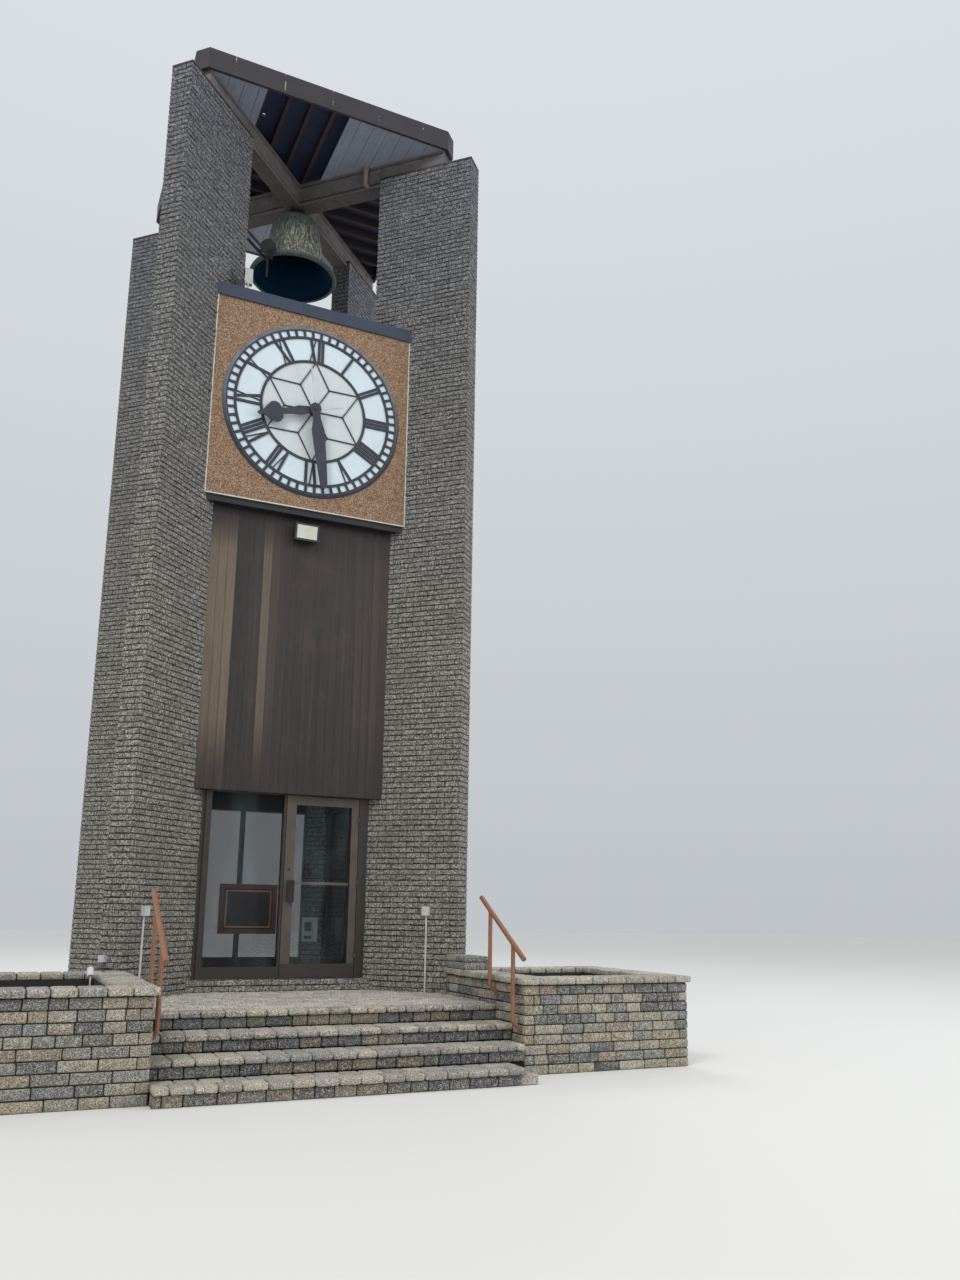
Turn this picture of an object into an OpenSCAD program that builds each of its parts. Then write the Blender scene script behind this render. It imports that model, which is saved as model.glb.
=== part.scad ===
// Clock tower: four brick fin piers on the diagonals, a clock face and a bay of bronze
// cladding over glazing on each side, an open belfry and a flat roof, on a stepped base.
// Millimetres. Origin at the centre of the plan, at street level. The front faces -Y.

/* [Base] */
// Height of one riser
riser_h = 160; // [140:5:180]
// Depth of one tread
tread_d = 395; // [320:5:440]
// Number of steps below the landing
step_count = 3; // [2:1:4]
// How far each step's cap stands out over its riser
nosing = 30; // [10:2:50]
// Thickness of the cap course on the steps
step_cap_t = 62; // [40:2:90]
// Distance from the plan centre to the landing's front edge
landing_front = 3565; // [3300:5:3900]
// Landing edge to the left of the plan centre
landing_left = 1910; // [1800:5:2000]
// Landing edge to the right of the plan centre
landing_right = 1755; // [1740:5:1950]
// How far short of the planter wall a step past its front ends
step_short = 55; // [0:5:120]
// How far short of the planter wall the bottom step ends
bottom_short = 250; // [150:5:400]
// How far the bottom step's cap stands out at that end
cap_end_out = 50; // [0:5:80]
// Length of the half block that closes the bottom step
end_block_l = 180; // [80:10:220]
// Depth of the half block
end_block_d = 200; // [100:10:300]

/* [Planters] */
// Height of the planter walls under their cap
planter_h = 872; // [750:4:1000]
// Thickness of the cap course
planter_cap_t = 70; // [50:2:100]
// How far the cap stands out
planter_cap_out = 38; // [10:2:60]
// Wall thickness
planter_wall_t = 300; // [200:10:360]
// Length of each planter along the front
planter_w = 2000; // [1500:10:2400]
// Distance from the plan centre to the front of the left planter
planter_left_front = 4560; // [4400:10:4700]
// Distance from the plan centre to the front of the right planter
planter_right_front = 4200; // [4050:10:4400]
// Distance from the plan centre to the back of both planters
planter_back = 2180; // [2130:10:2500]
// Depth of the soil below the wall's top
soil_drop = 60; // [20:5:200]
// Length of the raised stub wall beside the right pier
stub_l = 560; // [300:10:800]
// Height of the raised stub wall over the cap
stub_h = 150; // [80:5:250]

/* [Piers] */
// Thickness of a pier
pier_t = 290; // [250:2:330]
// Distance from the plan centre to a pier's inner end
pier_in = 1465; // [1400:5:1500]
// Distance from the plan centre to a pier's outer end
pier_out = 2859; // [2700:5:2950]
// Height of the brickwork above the street
pier_top = 11980; // [11800:10:12200]
// Thickness of the metal pier cap
pier_cap_t = 26; // [16:2:60]
// How far the pier cap stands out
pier_cap_out = 8; // [2:1:16]

/* [Levels] */
// Height of the floor and door sill above the landing
sill_rise = 135; // [100:5:180]
// Height of the door opening
opening_h = 2200; // [2150:5:2300]
// Height of the clock panels' lower edge above the street
panel_z0 = 6601; // [6400:5:6700]
// Height of a clock panel
panel_h = 2690; // [2650:5:2800]

/* [Bays] */
// Distance from the plan centre to the clock panel's face
panel_face = 1521; // [1500:2:1545]
// Thickness of a clock panel
panel_t = 100; // [60:5:120]
// Height of the cap flashing over a clock panel
flashing_h = 169; // [120:2:220]
// How far the cap flashing stands out
flashing_out = 24; // [8:1:30]
// Height of the dark trim under a clock panel
panel_sill_h = 81; // [50:1:110]
// How far the dark trim stays behind the clock panel's face
panel_sill_back = 20; // [10:1:30]
// Width of the white edge strips
strip_w = 16; // [10:1:40]
// How far the white edge strips stand out
strip_out = 6; // [2:1:12]
// Distance from the plan centre to the cladding's face
cladding_face = 1382; // [1370:2:1400]
// Thickness of the cladding
cladding_t = 60; // [40:2:70]
// Distance from one joint of the cladding to the next
pan_pitch = 114; // [90:2:160]
// Width of a joint in the cladding
pan_joint_w = 10; // [4:1:16]
// Depth of a joint in the cladding
pan_joint_d = 8; // [3:1:12]
// Distance from the plan centre to the glazing frames' face
frame_face = 1284; // [1270:2:1300]
// Depth of the glazing frames
frame_d = 100; // [80:2:110]
// Distance from the plan centre to the brick sill walls' face
sill_face = 1312; // [1300:2:1330]

/* [Dial] */
// Distance from the dial's edge to the panel's nearest edges
dial_margin = 135; // [120:5:200]
// How far the dial's centre lies above the panel's middle
dial_rise = 9; // [0:1:16]
// Radial width of the outer ring
dial_ring_w = 60; // [44:2:80]
// Width of the bevel round the outer ring
ring_bevel = 26; // [10:2:36]
// Height of the outer ring's edge outside the bevel
ring_foot = 6; // [4:1:20]
// Thickness of the opal glass
dial_glass_t = 12; // [8:1:20]
// Depth of the skeleton's bars
skeleton_t = 14; // [12:2:30]
// Radial height of a minute window
track_h = 82; // [60:1:90]
// Width of a minute bar
minute_bar_w = 34; // [24:2:52]
// Width of the ring inside the minute track
track_ring_w = 34; // [20:2:48]
// Radial height of a numeral
numeral_h = 297; // [260:1:330]
// Width of the inner ring
inner_ring_w = 33; // [16:1:44]
// Width of the star's glazing bars
star_bar_w = 14; // [8:1:24]
// Gap between the letters of a numeral
letter_gap = 13; // [8:1:20]
// Width of a numeral's thick stroke
thick_stroke = 36; // [24:2:46]
// Width of a numeral's thin stroke
thin_stroke = 15; // [8:1:24]

/* [Hands] */
// How far the minute hand stops short of the dial's edge
minute_short = 82; // [70:2:200]
// How far the hour hand stops short of the dial's edge
hour_short = 407; // [360:5:520]
// Length of the minute hand's counterbalance
minute_tail = 588; // [300:5:620]
// Length of the hour hand's counterbalance
hour_tail = 380; // [250:5:450]
// Width of the counterbalances
tail_w = 14; // [8:1:24]
// Radius of the discs on which the hands sit
hub_r = 75; // [60:1:90]
// Thickness of the hands
hand_t = 10; // [6:1:16]
// Gap between the dial's bars and the hour hand
dial_gap = 54; // [12:1:60]
// Gap between the hands
hand_gap = 24; // [10:1:30]
// Radius of the minute hand's shaft
shaft_r = 14; // [10:1:18]
// Wall of the hour hand's pipe
pipe_wall = 8; // [5:1:12]
// Running clearance at the shaft and the pipe
run_gap = 0.08; // [0.02:0.01:0.1]
// Distance across the corners of the nut on the shaft
nut_w = 50; // [36:1:60]
// Thickness of the nut on the shaft
nut_t = 14; // [8:1:20]
// Minutes past eight that the hands show
minutes_shown = 28.6; // [0:0.1:59]

/* [Entrance] */
// Width of the sidelight glass
sidelight_w = 878; // [800:2:900]
// Outer edge of the sidelight glass, left of the plan centre
sidelight_edge = 930; // [900:2:960]
// Width of the mullion beside the door
mullion_w = 27; // [24:1:60]
// Width of the door leaf
leaf_w = 926; // [880:2:930]
// Thickness of the door leaf
leaf_t = 44; // [38:1:54]
// Width of the lock stile
lock_stile_w = 120; // [80:2:140]
// Width of the hinge stile
hinge_stile_w = 92; // [70:2:120]
// Height of the leaf's top rail
top_rail_h = 110; // [80:5:150]
// Height of the leaf's bottom rail
bottom_rail_h = 159; // [120:5:220]
// Clearance round the leaf
leaf_gap = 7; // [6.5:0.5:9]
// Distance from the door leaf's top to the opening's top
leaf_drop = 10; // [8:1:20]
// How far the glass stands back from the frames' face
glass_back = 52; // [40:1:60]
// How far the jamb's outer part stands back from its face
jamb_step = 26; // [10:1:40]
// Distance from the leaf's ends to the hinges
hinge_in = 200; // [150:5:300]
// Thickness of the door and window glass
glass_t = 8; // [6:1:12]
// Height of the rail under the fixed lights
light_rail_h = 142; // [100:2:180]
// Width of the frame tubes
tube_w = 70; // [50:2:76]
// Thickness of the threshold
threshold_t = 6; // [4:1:10]
// Height of the pull handle
pull_h = 259; // [200:5:320]
// Width of the pull handle
pull_w = 86; // [60:1:100]
// Height of the pull handle's lower end above the floor
pull_rise = 903; // [850:5:1000]
// Height of the push bar above the floor
push_rise = 1115; // [1000:5:1200]
// Height of the push bar
push_h = 34; // [25:1:50]
// Distance from the leaf's edges to the push bar's ends
push_in = 50; // [30:1:80]
// Width of the frame profile on the unseen windows
window_tube_w = 60; // [45:1:90]

/* [Belfry] */
// Width of the crossing beams
beam_w = 200; // [160:5:240]
// Underside of the beams above the street
beam_z0 = 11900; // [11860:5:11940]
// Top of the beams above the street
beam_z1 = 12280; // [12240:5:12340]
// Height of the beams' bottom flange
flange_h = 62; // [40:2:90]
// How far the bottom flange stands out
flange_out = 12; // [6:1:20]
// Height of the shadow line over the bottom flange
groove_h = 20; // [10:1:30]
// Depth of the shadow line
groove_d = 16; // [6:1:24]
// Radius of the bell's mouth
bell_r = 640; // [560:5:680]
// Height of the bell
bell_h = 985; // [880:5:1040]
// Wall of the bell
bell_wall = 42; // [25:1:60]
// Gap between the bell and the hammer's head at rest
hammer_gap = 6; // [5:1:20]
// Length of the hammer's round head
hammer_len = 110; // [80:5:140]
// Radius of the hammer's head
hammer_r = 100; // [60:1:110]
// Height of the head's centre over the bell's mouth
strike_rise = 70; // [40:5:110]
// Distance from the hammer's pin up to its head
hammer_rise = 160; // [150:5:220]
// Length of the lever under the hammer's pin
hammer_tail = 300; // [200:5:340]
// Thickness of the lever and the stem
lever_t = 24; // [16:2:30]
// Radius of the hammer's pin
hammer_pin_r = 12; // [8:1:14]
// Radius of the hammer's hub
hammer_hub_r = 26; // [24:1:30]
// Width of the hammer's hub
hammer_hub_w = 64; // [40:2:80]
// Gap between the hub and each arm of the bracket
arm_gap = 8; // [6:1:12]
// Thickness of the bracket's arms
arm_t = 14; // [10:1:20]
// Height of the bracket's arms
arm_h = 44; // [34:2:60]
// Height of the hanger between bell and beams
hanger_h = 135; // [60:5:160]
// Radius of the hanger
hanger_r = 90; // [60:5:110]
// Thickness of the hanger's top plate
hanger_plate_t = 30; // [16:2:40]
// Distance from the plan centre to the lamp on the front flashing, to the left
lamp_at = 935; // [900:5:960]
// Height of the lamp's lower edge over the flashing
lamp_rise = 110; // [90:5:150]
// Height of the lamp
lamp_h = 215; // [180:5:240]
// Width of the lamp
lamp_w = 110; // [90:5:130]
// Thickness of the belfry deck
belfry_deck_t = 100; // [60:5:140]

/* [Roof] */
// Half the side of the roof
roof_half = 1830; // [1780:5:1900]
// Length cut off each side at a corner
roof_cut = 145; // [100:5:200]
// Height of the fascia
fascia_h = 295; // [240:5:340]
// Thickness of the fascia
fascia_t = 40; // [25:1:60]
// How far the fascia hangs below the soffit
fascia_drop = 12; // [0:1:30]
// Width of a soffit board
board_w = 200; // [160:5:240]
// Thickness of a soffit board
board_t = 18; // [12:1:25]
// Gap between soffit boards
board_gap = 5; // [3:1:10]
// Depth of a joist
joist_h = 140; // [100:5:160]
// Width of a joist
joist_w = 45; // [35:1:60]
// Distance between joists
joist_pitch = 305; // [250:5:450]
// How far the middle joist of each side lies off the centre line
joist_shift = 30; // [0:5:60]
// Thickness of the roof deck
deck_t = 40; // [20:2:60]
// Radius of the hole rotted through the roof deck
deck_hole_r = 30; // [15:1:50]
// How far the hole lies to the left of the plan centre
deck_hole_x = 800; // [700:10:900]
// How far the hole lies in front of the plan centre
deck_hole_y = 1120; // [1000:10:1250]
// How far the opening left by fallen boards runs to the left
fallen_left = 900; // [800:10:1000]
// How far the opening left by fallen boards runs to the right
fallen_right = 240; // [200:10:400]
// Radius of the pipe that drops from the soffit
drop_pipe_r = 32; // [24:1:36]
// Distance from the plan centre to the drop pipe, along the beam
drop_pipe_at = 1216; // [1150:5:1250]
// Length of the drop pipe down to its bend
drop_pipe_l = 280; // [200:5:300]

/* [Handrails] */
// Outer radius of the pipe
rail_r = 26; // [20:1:30]
// Outer radius of the posts
post_r = 22; // [16:1:26]
// Radius of the bend at a post's foot
foot_bend_r = 70; // [40:5:100]
// Angle of the bend at a post's foot
foot_turn = 50; // [35:5:80]
// Distance from the planter wall to the pipe's centre
rail_off = 95; // [80:5:130]
// Height of the rail's upper end above the street
rail_z1 = 1750; // [1650:5:1850]
// Height of the rail's lower end above the street
rail_z0 = 1135; // [1050:5:1250]
// Distance from the plan centre to the rail's upper end
rail_y1 = 3350; // [3250:5:3450]
// Distance from the plan centre to the rail's lower end
rail_y0 = 4360; // [4300:5:4450]
// Distance from the rail's upper end to the rear post
rear_post_in = 230; // [150:5:300]
// Distance from the rail's lower end to the front post
front_post_in = 240; // [150:5:300]
// Height above the street where the rear post starts to bend
rear_foot_z = 860; // [760:5:900]
// Height above the street where the front post starts to bend
front_foot_z = 545; // [480:5:640]

/* [Fittings] */
// Width of the floodlight
flood_w = 310; // [250:5:350]
// Height of the floodlight
flood_h = 220; // [180:5:240]
// Depth of the floodlight
flood_d = 80; // [60:5:100]
// Forward tilt of the floodlight
flood_tilt = 8; // [0:1:30]
// Distance from the floodlight's centre up to the dark trim
flood_drop = 210; // [180:5:260]
// Distance from the floodlight's centre to the cladding
flood_out = 95; // [90:5:130]
// Width of a junction box
box_w = 90; // [70:2:110]
// Height of a junction box
box_h = 108; // [80:2:130]
// Depth of a junction box
box_d = 60; // [40:2:80]
// Radius of a conduit
conduit_r = 12; // [8:1:16]
// Distance from the left pier's outer end to its junction box
left_box_in = 293; // [250:5:450]
// Height of the left junction box above the landing
left_box_rise = 860; // [800:5:950]
// Distance from the right pier's outer end to its junction box
right_box_in = 399; // [350:5:450]
// Height of the right junction box above the landing
right_box_rise = 900; // [800:5:950]
// Height of the outlet on the left pier's end above the landing
outlet_rise = 380; // [300:5:450]
// Width and height of that outlet
outlet_w = 70; // [50:2:90]
// Width of the framed board inside
poster_w = 820; // [700:5:850]
// Height of the framed board
poster_h = 690; // [600:5:720]
// Height of the framed board's lower edge above the floor
poster_rise = 465; // [430:5:500]
// How far the framed board's middle lies off the windows' middle
poster_shift = 130; // [0:5:200]
// Width of the meter box inside
meter_w = 200; // [160:5:220]
// Height of the meter box
meter_h = 340; // [300:5:380]
// Depth of the meter box
meter_d = 110; // [80:5:120]
// Height of the meter box above the floor
meter_rise = 365; // [300:5:500]
// Radius of the spotlight in the left planter
spot_r = 32; // [25:1:36]
// Length of the spotlight
spot_l = 110; // [80:5:140]

/* [Hidden] */

root2 = sqrt(2);
seat = 0.3;
round_fn = 48;
fine_fn = 96;
beam_end_gap = 5;
joist_end_gap = 10;
wire_r = 7;
poster_t = 30;
pull_in = 40;
pull_out = 44;
grip_t = 8;
lock_r = 15;
lock_rise = 132;
push_out = 26;
push_t = 18;

// Levels above the street
landing_z = riser_h * (step_count + 1);
sill_z = landing_z + sill_rise;
head_z = sill_z + opening_h;
panel_z1 = panel_z0 + panel_h;
dial_cz = panel_z0 + panel_h / 2 + dial_rise;
cladding_z1 = panel_z0 - panel_sill_h;
cap_z1 = pier_top + pier_cap_t;
bell_z1 = beam_z0 - hanger_h;
bell_z0 = bell_z1 - bell_h;
soffit_z0 = beam_z1 - board_t;
fascia_z0 = soffit_z0 - fascia_drop;
deck_z0 = beam_z1 + seat + joist_h;

// Half the clear width between two piers at a distance d from the plan centre
function bay_half(d) = d - (pier_t / 2 + seat) * root2;

// Radii of the dial's rings
dial_r = min(panel_h / 2, bay_half(panel_face)) - dial_margin;
track_r = dial_r - dial_ring_w - track_h;
inner_ring_r = track_r - track_ring_w - numeral_h;
minute_len = dial_r - minute_short;
hour_len = dial_r - hour_short;

// Dial depths, as distances from the plan centre
glass_out = panel_face + dial_glass_t;
skeleton_out = glass_out + skeleton_t;
hour_in = skeleton_out + dial_gap;
hour_out = hour_in + hand_t;
minute_in = hour_out + hand_gap;
minute_out = minute_in + hand_t;
pipe_r = shaft_r + run_gap + pipe_wall;
minute_turn = minutes_shown * 6;
hour_turn = 240 + minutes_shown / 2;

// Entrance lines, along X
mullion_x0 = -sidelight_edge + sidelight_w;
mullion_x1 = mullion_x0 + mullion_w;
leaf_x0 = mullion_x1 + leaf_gap;
leaf_x1 = leaf_x0 + leaf_w;
jamb_x = leaf_x1 + leaf_gap;
leaf_z0 = sill_z + threshold_t + leaf_gap;
leaf_z1 = head_z - leaf_drop;
head_rail_z = leaf_z1 + leaf_gap;
glass_in = frame_face - glass_back;
hinge_r = 9;
hinge_pin_r = 4;
hinge_strap_w = 24;
hinge_strap_t = 4;
knuckle_h = 40;
hinge_x = leaf_x1 + leaf_gap / 2;
hinge_y = -(frame_face + hinge_r + 1);
hinge_zs = [leaf_z0 + hinge_in, (leaf_z0 + leaf_z1) / 2, leaf_z1 - hinge_in - 3 * knuckle_h];

// Draws its child on the sides listed: 0 front, 1 right, 2 back, 3 left
module on_sides(sides = [0:3]) {
    for (side = sides) rotate(90 * side) children();
}

// A box that reaches from one corner to the opposite one
module block(low, high) {
    translate(low) cube(high - low);
}

// A slab that fills a bay from pier to pier, between two distances from the plan centre
module bay_slab(near, far, z0, z1) {
    translate([0, 0, z0])
        linear_extrude(z1 - z0)
            polygon([
                [-bay_half(near), -near], [bay_half(near), -near],
                [bay_half(far), -far], [-bay_half(far), -far]
            ]);
}

// Footprint of a pier on the diagonal at a given angle, widened by a margin
module pier_footprint(angle, margin = 0) {
    rotate(angle)
        translate([pier_in - margin, -pier_t / 2 - margin])
            square([pier_out - pier_in + 2 * margin, pier_t + 2 * margin]);
}

module all_pier_footprints(margin = 0) {
    for (corner = [0:3]) pier_footprint(45 + 90 * corner, margin);
}

module pier(angle) {
    color([0.42, 0.40, 0.37])
        linear_extrude(pier_top) pier_footprint(angle);
}

module pier_caps() {
    color([0.20, 0.17, 0.15])
        translate([0, 0, pier_top])
            linear_extrude(pier_cap_t) all_pier_footprints(pier_cap_out);
}

// Square slab round the plan centre, cut back from the piers
module core_slab(half, z0, z1) {
    translate([0, 0, z0])
        linear_extrude(z1 - z0)
            difference() {
                square(2 * half, center = true);
                all_pier_footprints(seat);
            }
}

module clock_panels() {
    color([0.63, 0.47, 0.30])
        on_sides()
            difference() {
                bay_slab(panel_face - panel_t, panel_face, panel_z0, panel_z1);
                translate([0, -panel_face, dial_cz])
                    rotate([90, 0, 0])
                        cylinder(r = pipe_r + run_gap, h = 3 * panel_t, center = true, $fn = round_fn);
            }
}

module panel_flashings() {
    color([0.24, 0.26, 0.28])
        on_sides()
            bay_slab(panel_face - panel_t, panel_face + flashing_out, panel_z1, panel_z1 + flashing_h);
}

module panel_sills() {
    color([0.10, 0.10, 0.11])
        on_sides()
            bay_slab(cladding_face - cladding_t, panel_face - panel_sill_back, cladding_z1, panel_z0);
}

// White strips up both sides and along the foot of each panel
module panel_edge_strips() {
    edge = bay_half(panel_face);
    color([0.86, 0.86, 0.83])
        on_sides()
            translate([0, -panel_face, 0])
                rotate([90, 0, 0])
                    linear_extrude(strip_out)
                        difference() {
                            translate([-edge, panel_z0]) square([2 * edge, panel_h]);
                            translate([-edge + strip_w, panel_z0 + strip_w])
                                square([2 * (edge - strip_w), panel_h]);
                        }
}

// Stands its flat child up as a layer of the dial, between two distances from the centre
module dial_layer(near, far) {
    translate([0, -near, dial_cz])
        rotate([90, 0, 0])
            linear_extrude(far - near) children();
}

module annulus(outer, width) {
    difference() {
        circle(outer, $fn = fine_fn);
        circle(outer - width, $fn = fine_fn);
    }
}

module dial_glasses() {
    color([0.90, 0.92, 0.92])
        on_sides()
            dial_layer(panel_face, glass_out)
                difference() {
                    circle(dial_r - dial_ring_w - seat, $fn = fine_fn);
                    circle(pipe_r + run_gap, $fn = round_fn);
                }
}

// One stroke of a numeral, from its foot on the inner ring to its head on the outer one
module stroke(foot, head, width) {
    low = inner_ring_r - inner_ring_w / 2;
    high = track_r - track_ring_w / 2;
    polygon([
        [foot - width / 2, low], [foot + width / 2, low],
        [head + width / 2, high], [head - width / 2, high]
    ]);
}

// Advance widths of the three letters, and the places of their strokes
i_adv = thick_stroke + letter_gap;
v_adv = 0.43 * numeral_h;
x_adv = 0.40 * numeral_h;
function advance(letter) = letter == "I" ? i_adv : letter == "V" ? v_adv : x_adv;
function numeral_width(letters, n) = n == 0 ? 0 : advance(letters[n - 1]) + numeral_width(letters, n - 1);

module numeral_letter(letter) {
    reach = (advance(letter) - thick_stroke - letter_gap) / 2;
    if (letter == "I") stroke(0, 0, thick_stroke);
    if (letter == "V") {
        stroke(0, -reach, thick_stroke);
        stroke(0, reach, thin_stroke);
    }
    if (letter == "X") {
        stroke(reach, -reach, thick_stroke);
        stroke(-reach, reach, thin_stroke);
    }
}

// A numeral seen from outside, its letters set side by side from left to right
module numeral(letters) {
    width = numeral_width(letters, len(letters));
    for (i = [0:len(letters) - 1])
        translate([numeral_width(letters, i) + advance(letters[i]) / 2 - width / 2, 0])
            numeral_letter(letters[i]);
}

numerals = ["I", "II", "III", "IIII", "V", "VI", "VII", "VIII", "IX", "X", "XI", "XII"];

// A thin bar between two points
module bar(from, to, width) {
    run = to - from;
    translate(from)
        rotate(atan2(run[1], run[0]))
            translate([0, -width / 2])
                square([norm(run), width]);
}

function polar(radius, hour) = radius * [sin(30 * hour), cos(30 * hour)];

// Six rhombi round the hub
module star() {
    ring = inner_ring_r - inner_ring_w / 2;
    knot = (inner_ring_r - inner_ring_w) / sqrt(3);
    hub = 3 * pipe_r;
    for (hour = [1:2:11]) {
        bar(polar(hub - star_bar_w, hour), polar(knot, hour), star_bar_w);
        bar(polar(knot, hour), polar(ring, hour - 1), star_bar_w);
        bar(polar(knot, hour), polar(ring, hour + 1), star_bar_w);
        translate(polar(knot, hour)) circle(star_bar_w, $fn = round_fn);
    }
    annulus(hub, hub - pipe_r - run_gap);
}

module skeleton_outline() {
    annulus(inner_ring_r, inner_ring_w);
    annulus(track_r, track_ring_w);
    for (minute = [0:59])
        rotate(6 * (minute + 0.5))
            translate([-minute_bar_w / 2, track_r - track_ring_w / 2])
                square([minute_bar_w, dial_r - dial_ring_w / 2 - track_r + track_ring_w / 2]);
    for (hour = [1:12]) rotate(-30 * hour) numeral(numerals[hour - 1]);
    star();
}

// Outer ring, bevelled on its outer edge and flush with the skeleton's bars in front
module dial_ring() {
    depth = skeleton_out - panel_face;
    translate([0, -panel_face, dial_cz])
        rotate([90, 0, 0])
            rotate_extrude($fn = fine_fn)
                polygon([
                    [dial_r - dial_ring_w, 0], [dial_r, 0], [dial_r, ring_foot],
                    [dial_r - ring_bevel, depth], [dial_r - dial_ring_w, depth]
                ]);
}

module dial_skeletons() {
    color([0.13, 0.15, 0.19])
        on_sides() {
            dial_layer(glass_out, skeleton_out - seat)
                intersection() {
                    skeleton_outline();
                    circle(dial_r - dial_ring_w / 2, $fn = fine_fn);
                }
            dial_ring();
        }
}

// Outlines of the hands: half widths and distances from the hub, as shares of their lengths
minute_profile = [[0.048, 0], [0.048, 0.14], [0.078, 0.27], [0.073, 0.42], [0.063, 0.63], [0.053, 0.82],
                  [0.043, 0.955], [0, 1]];
hour_profile = [[0.06, 0], [0.06, 0.10], [0.084, 0.265], [0.054, 0.42], [0.052, 0.56], [0.147, 0.765],
                [0.085, 0.842], [0.034, 0.91], [0.034, 0.965], [0, 1]];
lobe = [0.067, 0.685];

// A hand's outline, pointing up, with its hub's disc and the rod of its counterbalance
module hand_outline(profile, length, disc, tail) {
    right = [for (share = profile) [share[0], share[1]] * length];
    left = [for (i = [len(profile) - 2:-1:0]) [-profile[i][0], profile[i][1]] * length];
    polygon(concat(right, left));
    circle(disc, $fn = round_fn);
    translate([-tail_w / 2, -tail]) square([tail_w, tail]);
}

module minute_outline() {
    hand_outline(minute_profile, minute_len, hub_r, minute_tail);
}

// The hour hand carries a heart of two round lobes near its tip
module hour_outline() {
    hand_outline(hour_profile, hour_len, hub_r - hand_t, hour_tail);
    for (sign = [-1, 1])
        translate([sign * lobe[0], lobe[1]] * hour_len) circle(0.1125 * hour_len, $fn = round_fn);
}

// The minute hand's shaft ends in a collar and a nut in front of the hand
module minute_hand(side) {
    color([0.15, 0.16, 0.20])
        rotate(90 * side) {
            dial_layer(minute_in, minute_out) rotate(-minute_turn) minute_outline();
            dial_layer(panel_face - panel_t / 2, minute_out + nut_t + hand_t / 2)
                circle(shaft_r, $fn = round_fn);
            dial_layer(minute_in, minute_out + hand_t / 2) circle(hub_r / 2, $fn = round_fn);
            dial_layer(minute_in, minute_out + nut_t) circle(nut_w / 2, $fn = 6);
        }
}

// The hour hand sits on a pipe that turns on the minute hand's shaft
module hour_hand(side) {
    color([0.15, 0.16, 0.20])
        rotate(90 * side)
            difference() {
                union() {
                    dial_layer(hour_in, hour_out) rotate(-hour_turn) hour_outline();
                    dial_layer(panel_face - panel_t / 2, minute_in - hand_gap / 4)
                        circle(pipe_r, $fn = round_fn);
                }
                dial_layer(panel_face - panel_t, minute_out)
                    circle(shaft_r + run_gap, $fn = round_fn);
            }
}

// Sheet of upright pans with sunk joints between them
module cladding(side) {
    half = bay_half(cladding_face);
    count = round(2 * half / pan_pitch);
    color([0.25, 0.21, 0.18])
        rotate(90 * side)
            difference() {
                bay_slab(cladding_face - cladding_t, cladding_face, head_z, cladding_z1);
                for (i = [1:count - 1]) {
                    x = -half + i * 2 * half / count;
                    block([x - pan_joint_w / 2, -cladding_face - 1, head_z - 1],
                          [x + pan_joint_w / 2, -cladding_face + pan_joint_d, cladding_z1 + 1]);
                }
            }
}

// Upright that fills from a pier's face to a given line, on the left if sign is -1
module jamb(line, sign) {
    filler = bay_half(frame_face) - line > tube_w ? line + tube_w : bay_half(frame_face - frame_d);
    near = frame_face - frame_d;
    far = frame_face;
    translate([0, 0, sill_z])
        linear_extrude(head_rail_z + tube_w - sill_z)
            polygon([
                [sign * line, -near], [sign * bay_half(near), -near],
                [sign * bay_half(far - jamb_step), -far + jamb_step], [sign * filler, -far + jamb_step],
                [sign * filler, -far], [sign * line, -far]
            ]);
}

module entrance_frame() {
    near = -(frame_face - frame_d);
    far = -frame_face;
    top = head_rail_z + tube_w;
    color([0.30, 0.24, 0.19]) {
        jamb(sidelight_edge, -1);
        jamb(jamb_x, 1);
        block([mullion_x0, far, sill_z], [mullion_x1, near, top]);
        block([-sidelight_edge, far, head_rail_z], [mullion_x0, near, top]);
        block([mullion_x1, far, head_rail_z], [jamb_x, near, top]);
        block([-sidelight_edge, far, sill_z], [mullion_x0, near, sill_z + light_rail_h]);
        block([mullion_x1, far, sill_z], [jamb_x, near, sill_z + threshold_t]);
        for (z = hinge_zs) frame_hinge(z);
    }
}

module sidelight_glass() {
    color([0.62, 0.72, 0.74, 0.4])
        block([-sidelight_edge, -glass_in - glass_t, sill_z + light_rail_h],
              [mullion_x0, -glass_in, head_rail_z]);
}

module door_leaf() {
    color([0.30, 0.24, 0.19]) {
        difference() {
            block([leaf_x0, -frame_face, leaf_z0], [leaf_x1, -frame_face + leaf_t, leaf_z1]);
            block([leaf_x0 + lock_stile_w, -frame_face - 1, leaf_z0 + bottom_rail_h],
                  [leaf_x1 - hinge_stile_w, -frame_face + leaf_t + 1, leaf_z1 - top_rail_h]);
        }
        for (z = hinge_zs) leaf_knuckle(z + knuckle_h);
    }
}

module door_glass() {
    pane_in = (leaf_t - glass_t) / 2;
    color([0.62, 0.72, 0.74, 0.4])
        block([leaf_x0 + lock_stile_w, -frame_face + pane_in, leaf_z0 + bottom_rail_h],
              [leaf_x1 - hinge_stile_w, -frame_face + pane_in + glass_t, leaf_z1 - top_rail_h]);
}

// Knuckle round the hinge pin and the strap that carries it, towards -X if sign is -1
module knuckle(z, sign, height) {
    half_t = hinge_strap_t / 2;
    outer = hinge_x + sign * hinge_strap_w;
    inner = outer - sign * hinge_strap_t;
    translate([hinge_x, hinge_y, z]) cylinder(r = hinge_r, h = height, $fn = round_fn);
    block([min(hinge_x, outer), hinge_y - half_t, z], [max(hinge_x, outer), hinge_y + half_t, z + height]);
    block([min(inner, outer), hinge_y - half_t, z], [max(inner, outer), -frame_face, z + height]);
}

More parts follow.
